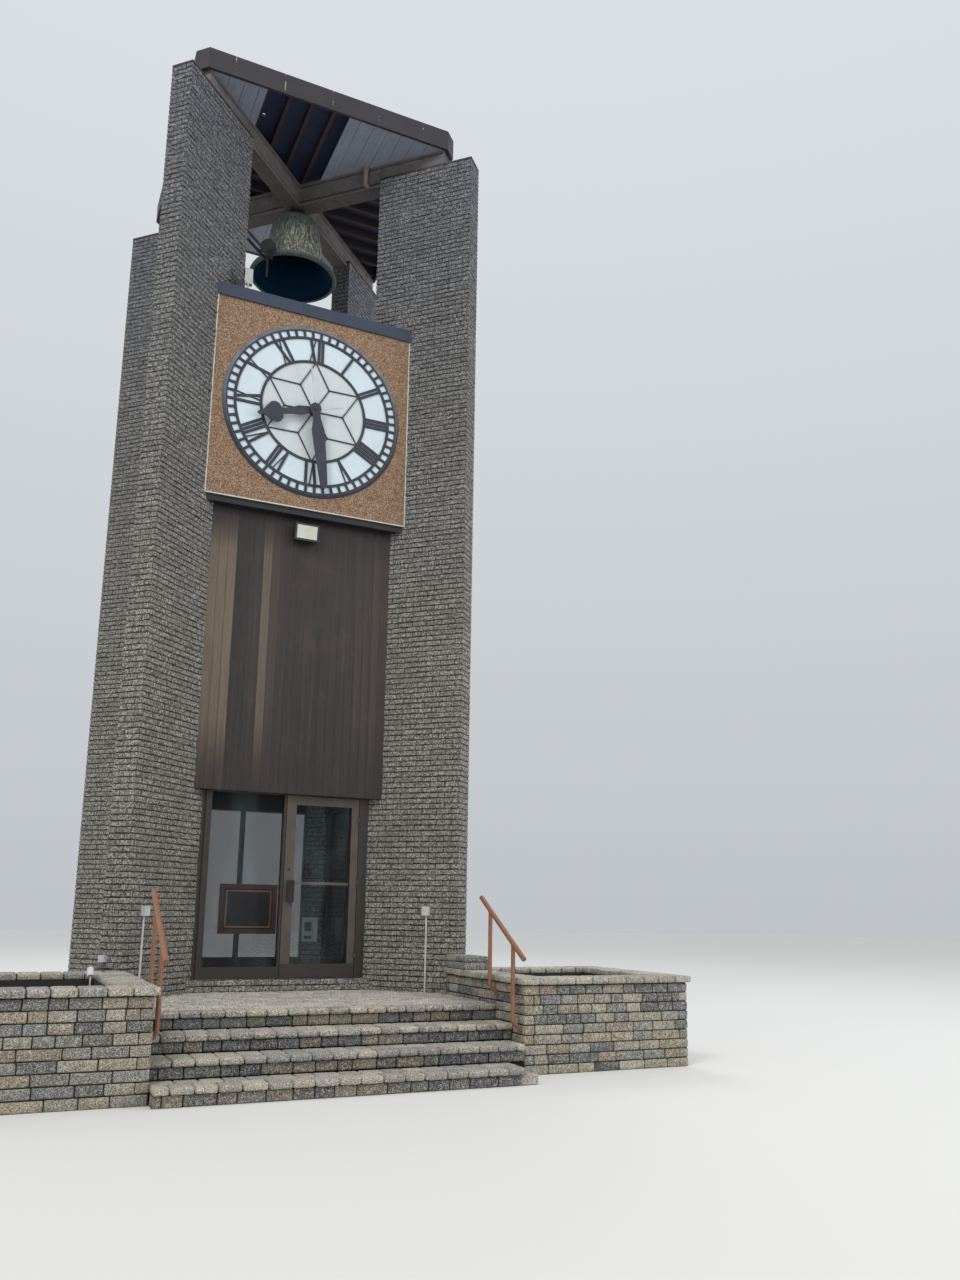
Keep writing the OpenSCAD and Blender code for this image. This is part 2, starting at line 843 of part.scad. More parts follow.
module leaf_knuckle(z) {
    difference() {
        knuckle(z + run_gap, -1, knuckle_h - 2 * run_gap);
        translate([hinge_x, hinge_y, z - 1])
            cylinder(r = hinge_pin_r + run_gap, h = knuckle_h + 2, $fn = round_fn);
    }
}

module frame_hinge(z) {
    for (at = [0, 2]) knuckle(z + at * knuckle_h, 1, knuckle_h);
    translate([hinge_x, hinge_y, z]) cylinder(r = hinge_pin_r, h = 3 * knuckle_h, $fn = round_fn);
}

// Pull outside, lock cylinder, and push bar inside
module door_hardware() {
    pull_z = sill_z + pull_rise;
    pull_x0 = leaf_x0 + pull_in;
    pull_x1 = pull_x0 + pull_w;
    bar_z = sill_z + push_rise;
    bar_y = -frame_face + leaf_t + push_out;
    color([0.20, 0.17, 0.15]) {
        block([pull_x0, -frame_face - pull_out, pull_z],
              [pull_x1, -frame_face - pull_out + grip_t, pull_z + pull_h]);
        block([pull_x1 - grip_t, -frame_face - pull_out + grip_t, pull_z],
              [pull_x1, -frame_face, pull_z + pull_h]);
        translate([leaf_x0 + lock_stile_w / 2, -frame_face, pull_z + pull_h + lock_rise])
            rotate([90, 0, 0]) cylinder(r = lock_r, h = grip_t, $fn = round_fn);
        block([leaf_x0 + push_in, bar_y, bar_z], [leaf_x1 - push_in, bar_y + push_t, bar_z + push_h]);
        for (x = [leaf_x0 + push_in, leaf_x1 - push_in - push_h])
            block([x, -frame_face + leaf_t, bar_z], [x + push_h, bar_y, bar_z + push_h]);
    }
}

// Frame with two fixed lights
module window_frame() {
    near = -(frame_face - frame_d);
    far = -frame_face;
    top = head_rail_z + tube_w;
    edge = bay_half(frame_face - frame_d) - window_tube_w;
    jamb(edge, -1);
    jamb(edge, 1);
    block([-window_tube_w / 2, far, sill_z], [window_tube_w / 2, near, top]);
    for (sign = [-1, 1]) {
        inner = sign * window_tube_w / 2;
        outer = sign * edge;
        block([min(inner, outer), far, head_rail_z], [max(inner, outer), near, top]);
        block([min(inner, outer), far, sill_z], [max(inner, outer), near, sill_z + light_rail_h]);
    }
}

module window_frames() {
    color([0.30, 0.24, 0.19]) on_sides([1:3]) window_frame();
}

module window_glass() {
    edge = bay_half(frame_face - frame_d) - window_tube_w;
    color([0.62, 0.72, 0.74, 0.4])
        on_sides([1:3])
            for (sign = [-1, 1])
                block([min(sign * window_tube_w / 2, sign * edge), -glass_in - glass_t, sill_z + light_rail_h],
                      [max(sign * window_tube_w / 2, sign * edge), -glass_in, head_rail_z]);
}

module sill_walls() {
    color([0.42, 0.40, 0.37])
        on_sides() bay_slab(frame_face - frame_d, sill_face, 0, sill_z);
}

module floor_slab() {
    color([0.55, 0.54, 0.52])
        core_slab(frame_face - frame_d - seat, 0, sill_z);
}

module belfry_deck() {
    color([0.40, 0.40, 0.40])
        core_slab(panel_face - panel_t - seat, panel_z1 - belfry_deck_t, panel_z1);
}

// Two beams crossing on the diagonals: full length over the pier caps, and between the
// piers' inner ends a deeper casing with a shadow line over its bottom flange
module crossing_beams() {
    corner = min((2 * roof_half - roof_cut) / root2 - fascia_t, root2 * (roof_half - fascia_t) - beam_w / 2);
    reach = corner - beam_end_gap;
    drop = pier_in - pier_cap_out - beam_end_gap;
    groove_z0 = beam_z0 + flange_h;
    groove_z1 = groove_z0 + groove_h;
    half = beam_w / 2;
    color([0.36, 0.30, 0.26])
        for (angle = [45, 135])
            rotate(angle) {
                block([-reach, -half, cap_z1], [reach, half, beam_z1]);
                block([-drop, -half, groove_z1], [drop, half, cap_z1 + 1]);
                block([-drop, -half + groove_d, groove_z0 - 1], [drop, half - groove_d, groove_z1 + 1]);
                block([-drop, -half - flange_out, beam_z0], [drop, half + flange_out, groove_z0]);
            }
}

// Outer profile of the bell, mouth first, as shares of its mouth radius and height
bell_profile = [
    [0.975, 0], [1, 0.02], [0.975, 0.055], [0.90, 0.10], [0.80, 0.165], [0.745, 0.24], [0.695, 0.34],
    [0.65, 0.46], [0.605, 0.60], [0.57, 0.74], [0.54, 0.84], [0.50, 0.905], [0.42, 0.955],
    [0.28, 0.985], [0.12, 0.998], [0, 1]
];

// Places of the two raised wires round the bell, in the same shares
bell_wires = [[0.854, 0.13], [0.528, 0.86]];

// Upper end of the thick sound bow, and how much thicker it is than the wall
bow_share = 0.12;
bow_factor = 1.5;

function bell_point(share) = [share[0] * bell_r, share[1] * bell_h];

// Inner profile: the outer one drawn in by the wall
function bell_inner(share) =
    let (thick = bell_wall * (share[1] < bow_share ? bow_factor : 1))
    [max(0, share[0] * bell_r - thick), share[1] * (bell_h - bell_wall)];

module bell() {
    inner = [for (i = [len(bell_profile) - 1:-1:2]) bell_inner(bell_profile[i])];
    color([0.33, 0.36, 0.29])
        translate([0, 0, bell_z0]) {
            rotate_extrude($fn = fine_fn)
                polygon(concat(
                    [for (share = bell_profile) bell_point(share)],
                    inner,
                    [[bell_profile[0][0] * bell_r - bell_wall, 0]]
                ));
            for (share = bell_wires)
                rotate_extrude($fn = fine_fn)
                    translate(bell_point(share))
                        polygon([[-wire_r, -2 * wire_r], [wire_r, -wire_r / 2], [wire_r, wire_r / 2],
                                 [-wire_r, 2 * wire_r]]);
        }
}

module bell_hanger() {
    plate = 1.2 * hanger_r;
    color([0.12, 0.12, 0.13])
        translate([0, 0, bell_z1]) {
            cylinder(r = hanger_r, h = hanger_h, $fn = round_fn);
            translate([-plate, -plate, hanger_h - hanger_plate_t]) cube([2 * plate, 2 * plate, hanger_plate_t]);
        }
}

// Places on the front-left diagonal for the bell's striking hammer
hammer_angle = 225;
hammer_face = bell_r + hammer_gap;
hammer_pivot = hammer_face + hammer_len / 2;
hammer_z = bell_z0 + strike_rise - hammer_rise;

// Two arms on a plate at the pier's inner end, with the hammer's pin between them
module hammer_bracket() {
    arm_in = hammer_hub_w / 2 + arm_gap;
    arm_out = arm_in + arm_t;
    plate_in = pier_in - arm_t;
    color([0.11, 0.11, 0.12])
        rotate(hammer_angle) {
            block([plate_in, -2 * arm_in, hammer_z - 3 * arm_h],
                  [pier_in - seat, 2 * arm_in, hammer_z + 3 * arm_h]);
            for (side = [-arm_out, arm_in])
                block([hammer_pivot - arm_h, side, hammer_z - arm_h / 2],
                      [plate_in + 1, side + arm_t, hammer_z + arm_h / 2]);
            block([hammer_pivot + 3 * arm_h, -arm_in - 1, hammer_z - arm_t],
                  [hammer_pivot + 4 * arm_h, arm_in + 1, hammer_z + arm_t]);
            translate([hammer_pivot, 0, hammer_z])
                rotate([90, 0, 0])
                    cylinder(r = hammer_pin_r, h = 2 * arm_in + 2, center = true, $fn = round_fn);
        }
}

// Round head over the pin and a lever below it
module strike_hammer() {
    half = lever_t / 2;
    bore_r = hammer_pin_r + run_gap;
    color([0.11, 0.11, 0.12])
        rotate(hammer_angle)
            difference() {
                union() {
                    translate([hammer_pivot, 0, hammer_z])
                        rotate([90, 0, 0])
                            cylinder(r = hammer_hub_r, h = hammer_hub_w, center = true, $fn = round_fn);
                    block([hammer_pivot - half, -half, hammer_z - hammer_tail],
                          [hammer_pivot + half, half, hammer_z + hammer_rise]);
                    translate([hammer_face, 0, hammer_z + hammer_rise])
                        rotate([0, 90, 0]) cylinder(r = hammer_r, h = hammer_len, $fn = round_fn);
                }
                translate([hammer_pivot, 0, hammer_z])
                    rotate([90, 0, 0]) cylinder(r = bore_r, h = hammer_hub_w + 2, center = true, $fn = round_fn);
            }
}

// Lamp on a leg on the front flashing, with its gear box beside it
module belfry_lamp() {
    z = panel_z1 + flashing_h;
    y = -panel_face + panel_t / 2;
    half = lamp_w / 2;
    color([0.58, 0.59, 0.60]) {
        translate([-lamp_at, y, z]) cylinder(r = conduit_r, h = lamp_rise + 1, $fn = round_fn);
        block([-lamp_at - half, y - conduit_r, z + lamp_rise],
              [-lamp_at + half, y + half, z + lamp_rise + lamp_h]);
        block([-lamp_at - 3 * half, y - half, z], [-lamp_at - half + conduit_r, y + half, z + lamp_w]);
        block([-lamp_at - half, y - conduit_r, z], [-lamp_at, y + conduit_r, z + conduit_r]);
    }
}

// Square roof outline with its corners cut, drawn in by a margin
module roof_outline(margin) {
    half = roof_half - margin;
    cut = roof_cut - margin * (2 - root2);
    polygon([
        [-half + cut, -half], [half - cut, -half], [half, -half + cut], [half, half - cut],
        [half - cut, half], [-half + cut, half], [-half, half - cut], [-half, -half + cut]
    ]);
}

module roof_fascia() {
    color([0.27, 0.25, 0.25])
        translate([0, 0, fascia_z0])
            linear_extrude(fascia_h)
                difference() {
                    roof_outline(0);
                    roof_outline(fascia_t);
                }
}

module roof_deck() {
    color([0.20, 0.18, 0.18])
        translate([0, 0, deck_z0])
            linear_extrude(deck_t)
                difference() {
                    roof_outline(fascia_t + seat);
                    translate([-deck_hole_x, -deck_hole_y]) circle(deck_hole_r, $fn = round_fn);
                }
}

// The quarter of the plan between two diagonals, on the front side
module front_quarter(margin = 0) {
    far = 2 * roof_half;
    polygon([[0, -margin], [far, -margin - far], [-far, -margin - far]]);
}

// Joists that run in from each fascia and end on the crossing beams
module roof_joists() {
    count = ceil(roof_half / joist_pitch);
    color([0.24, 0.19, 0.17])
        translate([0, 0, beam_z1 + seat])
            linear_extrude(joist_h)
                intersection() {
                    roof_outline(fascia_t + seat);
                    on_sides()
                        intersection() {
                            front_quarter(root2 * joist_end_gap);
                            for (i = [-count:count])
                                translate([joist_shift + i * joist_pitch - joist_w / 2, -2 * roof_half])
                                    square([joist_w, 2 * roof_half]);
                        }
                }
}

// Boards under the joists, save where they have fallen: a strip in front, the right
// quarter and the inner part of the left one
module soffit_boards() {
    count = ceil(roof_half / board_w);
    color([0.36, 0.37, 0.38])
        translate([0, 0, soffit_z0])
            linear_extrude(board_t)
                difference() {
                    intersection() {
                        roof_outline(fascia_t + seat);
                        for (i = [-count:count - 1])
                            translate([i * board_w + board_gap / 2, -roof_half])
                                square([board_w - board_gap, 2 * roof_half]);
                    }
                    for (angle = [45, 135])
                        rotate(angle)
                            square([4 * roof_half, beam_w + 2 * seat], center = true);
                    polygon([[-fallen_left, -roof_half], [fallen_right, -roof_half],
                             [fallen_right, -fallen_right], [0, 0], [-fallen_left, -fallen_left]]);
                    rotate(90) front_quarter();
                    polygon([[0, 0], [-fallen_left, -fallen_left], [-fallen_left, fallen_left]]);
                }
}

// Pipe that drops from a collar at the soffit beside the front-right beam and bends outward
module soffit_pipe() {
    z = soffit_z0 - drop_pipe_l;
    bend = 1.5 * drop_pipe_r;
    off = beam_w / 2 + flange_out + drop_pipe_r + 1;
    color([0.55, 0.50, 0.45])
        rotate(-45)
            translate([drop_pipe_at, -off, 0]) {
                translate([0, 0, z]) cylinder(r = drop_pipe_r, h = drop_pipe_l - seat, $fn = round_fn);
                translate([0, 0, soffit_z0 - 2 * drop_pipe_r])
                    cylinder(r = 1.35 * drop_pipe_r, h = 2 * drop_pipe_r - seat, $fn = round_fn);
                translate([bend, 0, z])
                    rotate([90, 0, 0])
                        rotate(180)
                            rotate_extrude(angle = 90, $fn = round_fn)
                                translate([bend, 0]) circle(drop_pipe_r, $fn = round_fn);
            }
}

module landing() {
    color([0.55, 0.52, 0.47])
        linear_extrude(landing_z)
            difference() {
                polygon([
                    [-landing_left, -landing_front], [landing_right, -landing_front],
                    [landing_right, -sill_face - seat], [-landing_left, -sill_face - seat]
                ]);
                all_pier_footprints(seat);
                for (sign = [-1, 1])
                    polygon([[0, 0], [sign, -1] * landing_front, [sign * landing_front, 0]]);
            }
}

// Each step is a riser with a cap course that stands out over it; a half block ends the bottom one
module steps() {
    color([0.58, 0.55, 0.49]) {
        for (i = [1:step_count]) {
            near = landing_front + (i - 1) * tread_d;
            far = near + tread_d;
            top = landing_z - i * riser_h;
            bottom = i == step_count;
            short = bottom ? bottom_short : far > planter_right_front ? step_short : 0;
            x0 = -landing_left + seat;
            x1 = landing_right - short - seat;
            riser_x1 = bottom ? x1 - cap_end_out : x1;
            block([x0, -far + nosing, 0], [riser_x1, -near, top - step_cap_t]);
            block([x0, -far, top - step_cap_t], [x1, -near, top]);
        }
        foot = landing_front + step_count * tread_d - nosing;
        x = landing_right - bottom_short - cap_end_out;
        block([x, -foot, 0], [x + end_block_l, -foot + end_block_d, riser_h - step_cap_t - seat]);
    }
}

// Four walls and their cap, with the inner edge at x and growing in the direction given
module planter(edge, sign, front) {
    x0 = min(edge, edge + sign * planter_w);
    x1 = max(edge, edge + sign * planter_w);
    difference() {
        block([x0, -front, 0], [x1, -planter_back, planter_h]);
        block([x0 + planter_wall_t, -front + planter_wall_t, -1],
              [x1 - planter_wall_t, -planter_back - planter_wall_t, planter_h + 1]);
    }
    difference() {
        block([x0 - planter_cap_out, -front - planter_cap_out, planter_h],
              [x1 + planter_cap_out, -planter_back, planter_h + planter_cap_t]);
        block([x0 + planter_wall_t, -front + planter_wall_t, planter_h - 1],
              [x1 - planter_wall_t, -planter_back - planter_wall_t, planter_h + planter_cap_t + 1]);
    }
}

module planter_left() {
    color([0.56, 0.53, 0.47]) planter(-landing_left, -1, planter_left_front);
}

module planter_right() {
    top = planter_h + planter_cap_t;
    color([0.56, 0.53, 0.47]) {
        planter(landing_right, 1, planter_right_front);
        block([landing_right, -planter_back - stub_l, top],
              [landing_right + planter_wall_t, -planter_back, top + stub_h]);
    }
}

module soil(edge, sign, front) {
    x0 = min(edge + sign * planter_wall_t, edge + sign * (planter_w - planter_wall_t));
    x1 = max(edge + sign * planter_wall_t, edge + sign * (planter_w - planter_wall_t));
    block([x0, -front + planter_wall_t, 0], [x1, -planter_back - planter_wall_t, planter_h - soil_drop]);
}

module planter_soil() {
    color([0.17, 0.13, 0.10]) {
        soil(-landing_left, -1, planter_left_front);
        soil(landing_right, 1, planter_right_front);
    }
}

// A round pipe between two points
module pipe(from, to, radius) {
    run = to - from;
    flat = norm([run[0], run[1]]);
    translate(from)
        rotate([0, atan2(flat, run[2]), atan2(run[1], run[0])])
            cylinder(r = radius, h = norm(run), $fn = 32);
}

// Post of a given height over a bend that turns down and towards +X, to end flat on a wall
module post(height) {
    cylinder(r = post_r, h = height, $fn = 32);
    translate([foot_bend_r, 0, 0])
        rotate([90, 0, 0])
            rotate(180)
                rotate_extrude(angle = foot_turn, $fn = round_fn)
                    translate([foot_bend_r, 0]) circle(post_r, $fn = 32);
    difference() {
        translate([foot_bend_r * (1 - cos(foot_turn)), 0, -foot_bend_r * sin(foot_turn)])
            rotate([0, 180 - foot_turn, 0]) cylinder(r = post_r, h = 2 * rail_off, $fn = 32);
        translate([rail_off - seat, -2 * post_r, -5 * rail_off])
            cube([4 * rail_off, 4 * post_r, 5 * rail_off]);
    }
}

// Sloping rail on two posts that stand off the side of a planter wall
module handrail(wall_x, sign) {
    x = wall_x - sign * rail_off;
    slope = (rail_z1 - rail_z0) / (rail_y0 - rail_y1);
    rear = [rail_y1 + rear_post_in, rear_foot_z];
    front = [rail_y0 - front_post_in, front_foot_z];
    pipe([x, -rail_y1, rail_z1], [x, -rail_y0, rail_z0], rail_r);
    for (foot = [rear, front]) {
        top = rail_z1 - (foot[0] - rail_y1) * slope;
        translate([x, -foot[0], foot[1]])
            rotate(sign > 0 ? 0 : 180) post(top - foot[1]);
    }
}

module handrail_left() {
    color([0.62, 0.36, 0.25]) handrail(-landing_left, -1);
}

module handrail_right() {
    color([0.62, 0.36, 0.25]) handrail(landing_right, 1);
}

module floodlight() {
    z = cladding_z1 - flood_drop;
    arm = flood_d / 2;
    color([0.16, 0.17, 0.18]) {
        translate([0, -cladding_face - flood_out, z])
            rotate([flood_tilt, 0, 0]) cube([flood_w, flood_d, flood_h], center = true);
        block([-arm, -cladding_face - flood_out, z - arm], [arm, -cladding_face - seat, z + arm]);
    }
}

// A box and its conduit on the broad face of a pier, at a distance along the pier
module wall_box(angle, along, sign, z) {
    face = sign * pier_t / 2;
    front = face + sign * box_d;
    rotate(angle) {
        block([along - box_w / 2, min(face, front), z], [along + box_w / 2, max(face, front), z + box_h]);
        pipe([along, face + sign * 1.3 * conduit_r, landing_z], [along, face + sign * 1.3 * conduit_r, z + 1],
             conduit_r);
    }
}

// The two boxes, and a small outlet on the end of the left pier
module junction_boxes() {
    z = landing_z + outlet_rise;
    color([0.66, 0.67, 0.66]) {
        wall_box(-45, pier_out - right_box_in, -1, landing_z + right_box_rise);
        wall_box(225, pier_out - left_box_in, 1, landing_z + left_box_rise);
        rotate(225)
            block([pier_out + seat, -1.5 * outlet_w, z], [pier_out + box_d, -outlet_w / 2, z + outlet_w]);
    }
}

// Framed board that hangs inside the back windows
module display_board() {
    y = frame_face - frame_d - seat;
    x0 = poster_shift - poster_w / 2;
    z0 = sill_z + poster_rise;
    color([0.30, 0.17, 0.12])
        block([x0, y - poster_t, z0], [x0 + poster_w, y, z0 + poster_h]);
}

module meter_box() {
    z = sill_z + meter_rise;
    color([0.82, 0.83, 0.82])
        rotate(45)
            block([pier_in - meter_d, -meter_w / 2, z], [pier_in - seat, meter_w / 2, z + meter_h]);
}

// Small lamp on a stake near the left planter's back corner, aimed at the tower
module planter_spotlight() {
    soil_z = planter_h - soil_drop;
    x = -landing_left - planter_wall_t - 2 * spot_r;
    y = -planter_back - planter_wall_t - 3 * spot_l;
    color([0.10, 0.10, 0.10])
        translate([x, y, soil_z]) {
            cylinder(r = spot_r / 4, h = spot_l, $fn = round_fn);
            translate([0, 0, spot_l]) rotate([-50, 0, 0]) cylinder(r = spot_r, h = spot_l, $fn = round_fn);
        }
}

pier(225);  // pier_front_left
pier(-45);  // pier_front_right
pier(135);  // pier_back_left
pier(45);  // pier_back_right
pier_caps();
clock_panels();
panel_flashings();
panel_edge_strips();
panel_sills();
dial_glasses();
dial_skeletons();
minute_hand(0);  // minute_hand_front
minute_hand(1);  // minute_hand_right
minute_hand(2);  // minute_hand_back
minute_hand(3);  // minute_hand_left
hour_hand(0);  // hour_hand_front
hour_hand(1);  // hour_hand_right
hour_hand(2);  // hour_hand_back
hour_hand(3);  // hour_hand_left
cladding(0);  // cladding_front
cladding(1);  // cladding_right
cladding(2);  // cladding_back
cladding(3);  // cladding_left
entrance_frame();
sidelight_glass();
door_leaf();
door_glass();
door_hardware();
window_frames();
window_glass();
sill_walls();
floor_slab();
belfry_deck();
crossing_beams();
bell();
bell_hanger();
hammer_bracket();
strike_hammer();
roof_fascia();
roof_deck();
roof_joists();
soffit_boards();
soffit_pipe();
landing();
steps();
planter_left();
planter_right();
planter_soil();
handrail_left();
handrail_right();
floodlight();
junction_boxes();
display_board();
meter_box();
planter_spotlight();
belfry_lamp();
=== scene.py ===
import itertools
import math

import bpy
import numpy as np
from mathutils import Matrix, Vector


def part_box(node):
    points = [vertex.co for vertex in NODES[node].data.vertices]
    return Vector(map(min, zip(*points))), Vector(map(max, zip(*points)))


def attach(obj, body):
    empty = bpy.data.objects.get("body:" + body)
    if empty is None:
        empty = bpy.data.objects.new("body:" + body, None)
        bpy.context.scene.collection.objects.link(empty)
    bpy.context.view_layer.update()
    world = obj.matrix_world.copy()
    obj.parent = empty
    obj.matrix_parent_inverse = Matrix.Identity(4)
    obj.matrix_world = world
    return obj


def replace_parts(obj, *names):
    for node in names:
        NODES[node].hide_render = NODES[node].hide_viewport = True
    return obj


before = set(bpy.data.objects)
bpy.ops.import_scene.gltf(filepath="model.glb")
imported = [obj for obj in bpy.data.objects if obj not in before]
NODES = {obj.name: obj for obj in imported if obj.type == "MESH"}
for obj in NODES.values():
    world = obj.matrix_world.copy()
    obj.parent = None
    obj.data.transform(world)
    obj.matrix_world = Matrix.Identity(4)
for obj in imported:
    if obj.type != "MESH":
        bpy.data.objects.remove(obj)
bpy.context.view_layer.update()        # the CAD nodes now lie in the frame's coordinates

rng = np.random.default_rng(11)

UP = np.array([0.0, 0.0, 1.0])
SIDES = ["front", "right", "back", "left"]
FLUSH = 0.001            # vertices this near to a plane lie in it


# Measures taken from the frame

def points_of(node):
    """The vertices of a CAD node, in metres."""
    mesh = NODES[node].data
    co = np.zeros(len(mesh.vertices) * 3)
    mesh.vertices.foreach_get("co", co)
    return co.reshape(-1, 3)


def span(node, axis):
    """How far a CAD node reaches along an axis, as (low, high)."""
    along = points_of(node) @ np.asarray(axis, float)
    return float(along.min()), float(along.max())


def side_axes(side):
    """Outward direction of a side of the tower and the direction to the right when facing it."""
    turn = SIDES.index(side) * math.pi / 2
    outward = np.array([math.sin(turn), -math.cos(turn), 0.0])
    rightward = np.array([math.cos(turn), math.sin(turn), 0.0])
    return outward, rightward


def outer_face(node, outward, rightward):
    """How far out the outermost face of a CAD node lies, and half its width."""
    verts = points_of(node)
    depth = float((verts @ outward).max())
    return depth, float(np.abs(verts[verts @ outward > depth - FLUSH] @ rightward).max())


# Meshes

def placed(name, data):
    """A new object in the scene."""
    obj = bpy.data.objects.new(name, data)
    bpy.context.scene.collection.objects.link(obj)
    return obj


def add_parts(name, parts, material, smooth=False):
    """Makes one object of (verts, faces) or (verts, faces, tint) parts and lets it ride on the tower."""
    verts, faces = [], []
    for part in parts:
        faces += [[i + len(verts) for i in face] for face in part[1]]
        verts += part[0].tolist()
    mesh = bpy.data.meshes.new(name)
    mesh.from_pydata(verts, [], faces)
    if len(parts[0]) > 2:
        tint = np.concatenate([part[2] for part in parts]).astype(np.float32)
        mesh.attributes.new("tint", "FLOAT", "POINT").data.foreach_set("value", tint)
    mesh.polygons.foreach_set("use_smooth", np.full(len(faces), smooth))
    mesh.materials.append(material)
    obj = placed(name, mesh)
    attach(obj, "tower")
    return obj


def frame_of(origin, u, w):
    """A flat face's own axes: u along it, v up it and w out of it."""
    u = np.asarray(u, float)
    w = np.asarray(w, float)
    return np.asarray(origin, float), u, np.cross(w, u), w


def to_world(local, face):
    """Points given along a face's own axes, in the frame's coordinates."""
    origin, u, v, w = face
    return origin + local[:, :1] * u + local[:, 1:2] * v + local[:, 2:3] * w


def copies(quads, per, count):
    """The faces of a number of copies of a grid, each with its own run of vertices."""
    return (quads + per * np.arange(count)[:, None, None]).reshape(-1, 4).tolist()


def box_part(low, high):
    """A plain box as (verts, faces)."""
    x0, y0, z0 = low
    x1, y1, z1 = high
    verts = np.array([[x0, y0, z0], [x1, y0, z0], [x1, y1, z0], [x0, y1, z0],
                      [x0, y0, z1], [x1, y0, z1], [x1, y1, z1], [x0, y1, z1]], float)
    faces = [(0, 3, 2, 1), (4, 5, 6, 7), (0, 1, 5, 4), (1, 2, 6, 5), (2, 3, 7, 6), (3, 0, 4, 7)]
    return verts, faces


# Bricks and blocks

SHORTEST = 0.3           # shortest brick or block, as a share of the usual length
BRICK_END = 0.012        # from a brick's end to its broken face
LOWER_BED, UPPER_BED = 0.13, 0.10    # worn strips along a brick's edges, as shares of its height
RAGGED = 0.0045          # how far a brick's edges stray from a straight line
STRAY = 0.004            # how far the vertices of its broken face stray


def course_cells(length, height, course, unit, joint, butt, bond=0.5):
    """Cells of a wall laid in courses: rows of (u0, u1, v0, v1, at left end, at right end)."""
    rows = max(1, round(height / course))
    course = height / rows
    cells = []
    for row in range(rows):
        edges = [0.0]
        at = unit * (bond if row % 2 else 1.0)
        while at < length - unit * SHORTEST:
            edges.append(at)
            at += unit
        edges.append(length)
        for i, (a, b) in enumerate(zip(edges, edges[1:])):
            first, last = i == 0, i == len(edges) - 2
            cells.append([a + (0 if first else butt / 2), b - (0 if last else butt / 2),
                          row * course + joint / 2, (row + 1) * course - joint / 2, first, last])
    return np.array(cells, float)


def rock_faces(face, cells, depth, rough, corner=True):
    """Rough brick faces on a flat face of a wall, each a grid of 5 by 4 vertices.

    The outer ring lies at the joint's depth and the rest is the broken face. The tint is one tone
    for each brick, with painted shade at its ends and along its beds, deepest along the lower one under its
    lip.
    """
    count = len(cells)
    left, right, foot, top = cells[:, 0], cells[:, 1], cells[:, 2], cells[:, 3]
    width, rise = right - left, top - foot
    end = np.minimum(BRICK_END, width / 4)
    middle = (left + right) / 2 + rng.uniform(-0.15, 0.15, count) * width
    columns = np.stack([left, left + end, middle, right - end, right], 1)
    rows = np.stack([foot, foot + rise * LOWER_BED, top - rise * UPPER_BED, top], 1)
    u = np.repeat(columns[:, :, None], 4, axis=2)
    v = np.repeat(rows[:, None, :], 5, axis=1)
    v[:, :, (0, 3)] += rng.uniform(-1, 1, (count, 5, 2)) * RAGGED
    w = rng.uniform(depth - rough, depth + rough, (count, 5, 4))
    u[:, 1:4, 1:3] += rng.uniform(-1, 1, (count, 3, 2)) * STRAY
    v[:, 1:4, 1:3] += rng.uniform(-1, 1, (count, 3, 2)) * STRAY
    w[:, :, (0, 3)] = 0
    at_left, at_right = cells[:, 4] > 0.5, cells[:, 5] > 0.5
    w[~at_left, 0, :] = 0
    w[~at_right, 4, :] = 0
    if corner:
        # At a corner of the wall the brick runs through to meet the next face at the same depth
        for flags, i, sign in ((at_left, 0, -1), (at_right, 4, 1)):
            w[flags, i, 1:3] = depth
            u[flags, i, 1:3] += sign * depth
    verts = np.stack([u, v, w], 3).reshape(-1, 3)
    quads = np.array([(i * 4 + j, i * 4 + j + 4, i * 4 + j + 5, i * 4 + j + 1)
                      for i in range(4) for j in range(3)])
    tint = np.repeat(rng.uniform(0.3, 1, count), 20).reshape(count, 5, 4)
    # Painted shade: the ring is dark at the ends and along the beds, darkest under the lower edge
    tint[:, (0, 4)] *= rng.uniform(0.1, 1, (count, 2, 1))
    tint[:, :, 0] = rng.uniform(0, 0.1, (count, 5))
    tint[:, :, 3] = rng.uniform(0.05, 0.3, (count, 5))
    return to_world(verts, face), copies(quads, 20, count), tint.ravel()


def block_template():
    """Surface of a 4 by 4 by 4 grid as (grid indices, quads)."""
    index, quads = {}, []
    for axis, level, a, b in itertools.product(range(3), (0, 3), range(3), range(3)):
        ring = [(a, b), (a + 1, b), (a + 1, b + 1), (a, b + 1)]
        if (level == 0) == (axis != 1):
            ring.reverse()
        quads.append([index.setdefault((*p[:axis], level, *p[axis:]), len(index)) for p in ring])
    return np.array(list(index)), np.array(quads)


BLOCK_GRID, BLOCK_QUADS = block_template()


def tumbled_blocks(lows, highs, radius, jitter):
    """Worn blocks between low and high corners, their edges rounded off and their faces uneven."""
    lows = np.asarray(lows, float)
    highs = np.asarray(highs, float)
    count = len(lows)
    size = highs - lows
    near = np.minimum(radius * rng.uniform(0.75, 1.25, (count, 1)), size * 0.3)
    steps = np.stack([np.zeros_like(size), near, size - near, size], 1)
    local = np.stack([steps[:, BLOCK_GRID[:, k], k] for k in range(3)], 2)
    # Vertices on the block's edges and corners are pulled in onto the rounding
    outer_sides = ((BLOCK_GRID == 0) | (BLOCK_GRID == 3)).sum(1)
    pull = np.choose(outer_sides, [0.0, 0.0, 1 - 1 / math.sqrt(2), 1 - 1 / math.sqrt(3)])
    sign = np.where(BLOCK_GRID == 0, 1.0, np.where(BLOCK_GRID == 3, -1.0, 0.0))
    local += near[:, None, :] * (pull[:, None] * sign)[None, :, :]
    local += rng.uniform(-jitter, jitter, local.shape)
    local = np.clip(local, 0, size[:, None, :])
    verts = (local + lows[:, None, :]).reshape(-1, 3)
    tint = np.repeat(rng.uniform(0, 1, count), len(BLOCK_GRID))
    return verts, copies(BLOCK_QUADS, len(BLOCK_GRID), count), tint


# Materials

